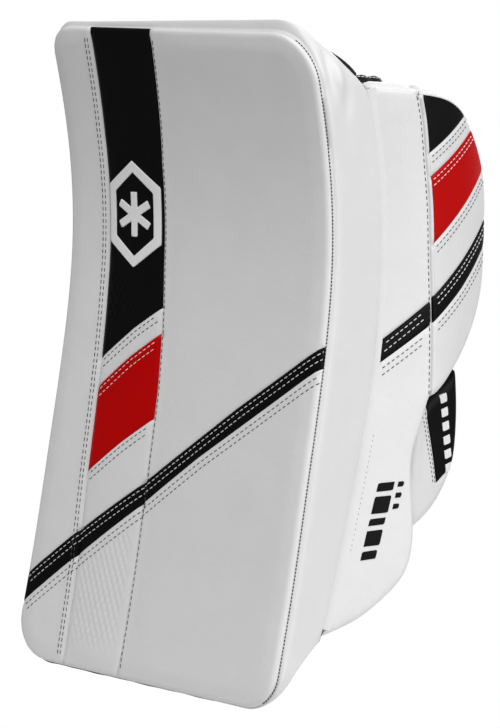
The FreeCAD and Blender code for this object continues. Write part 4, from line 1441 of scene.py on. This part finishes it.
def make_camera():
    target = Vector((29.6, -53.3, -1.6)) * MM
    azimuth, elevation, roll = (math.radians(a) for a in (40.04, 5.02, 3.26))
    level = math.cos(elevation)
    back = Vector((math.sin(azimuth) * level, -math.cos(azimuth) * level, math.sin(elevation)))
    data = bpy.data.cameras.new("camera")
    data.lens = 137.5
    data.sensor_width = 36
    data.clip_end = 20
    camera = bpy.data.objects.new("camera", data)
    camera.location = target + back * 1.5992
    camera.rotation_mode = "QUATERNION"
    camera.rotation_quaternion = Quaternion(back, roll) @ (-back).to_track_quat("-Z", "Y")
    bpy.context.scene.collection.objects.link(camera)
    bpy.context.scene.camera = camera


def area_light(name, direction, distance_m, size, power):
    data = bpy.data.lights.new(name, "AREA")
    data.shape = "RECTANGLE"
    data.size, data.size_y = size
    data.energy = power
    light = bpy.data.objects.new(name, data)
    towards = Vector(direction).normalized()
    light.location = towards * distance_m
    light.rotation_euler = (-towards).to_track_quat("-Z", "Y").to_euler()
    bpy.context.scene.collection.objects.link(light)


def make_stage():
    """A white studio: a pale round floor, a dim even fill, and three soft lights."""
    world = bpy.data.worlds.new("world")
    bpy.context.scene.world = world
    world.use_nodes = True
    tree = world.node_tree
    background = tree.nodes["Background"]
    background.inputs["Color"].default_value = (1, 1, 1, 1)
    seen = node(tree, "ShaderNodeLightPath")
    strength = node(tree, "ShaderNodeMapRange")
    strength.inputs["To Min"].default_value = 0.17
    strength.inputs["To Max"].default_value = 1.0
    tree.links.new(seen.outputs["Is Camera Ray"], strength.inputs["Value"])
    tree.links.new(strength.outputs["Result"], background.inputs["Strength"])
    area_light("key", (1.0, 0.3, 0.35), 2.2, (1.5, 1.5), 33)
    area_light("front", (0.27, -0.62, 0.84), 2.6, (1.9, 1.9), 58)
    area_light("rear", (-0.5, 1.0, 0.5), 2.4, (1.8, 1.8), 27)
    material = new_material("floor_paper", (0.82, 0.82, 0.82), 0.9)[0]
    radius, floor_z = 780.0, -430.0
    turns = np.linspace(0, 2 * math.pi, 97)[:-1]
    rim = [(radius * math.cos(a), radius * math.sin(a), floor_z) for a in turns]
    data = bpy.data.meshes.new("floor")
    data.from_pydata([tuple(c * MM for c in p) for p in rim], [], [tuple(range(len(rim)))])
    data.materials.append(material)
    floor = bpy.data.objects.new("floor", data)
    bpy.context.scene.collection.objects.link(floor)
    bpy.context.scene.view_settings.view_transform = "Standard"


make_camera()
make_stage()
make_face()
face_stitching()
face_emblem()
gusset()
gusset_stitching()
rear_cover()
edge_binding()
make_wing()
make_flap()
rim_wall("wing_rim", WING_OUTLINE, [CREASE, SEAM_FRONT], wing_outer, wing_inner, "side_wing")
rim_wall("flap_rim", FLAP_OUTLINE, [SEAM_BACK], flap_outer, flap_inner, "wing_flap")
side_stitching()
wing_folds()
wing_print()
thumb_guard()
thumb_stall()
web_pad()
fingers()
glove_shell()
palm_patch()
knuckle_pad()
cuff_wall()
cuff_rolls()
strap()
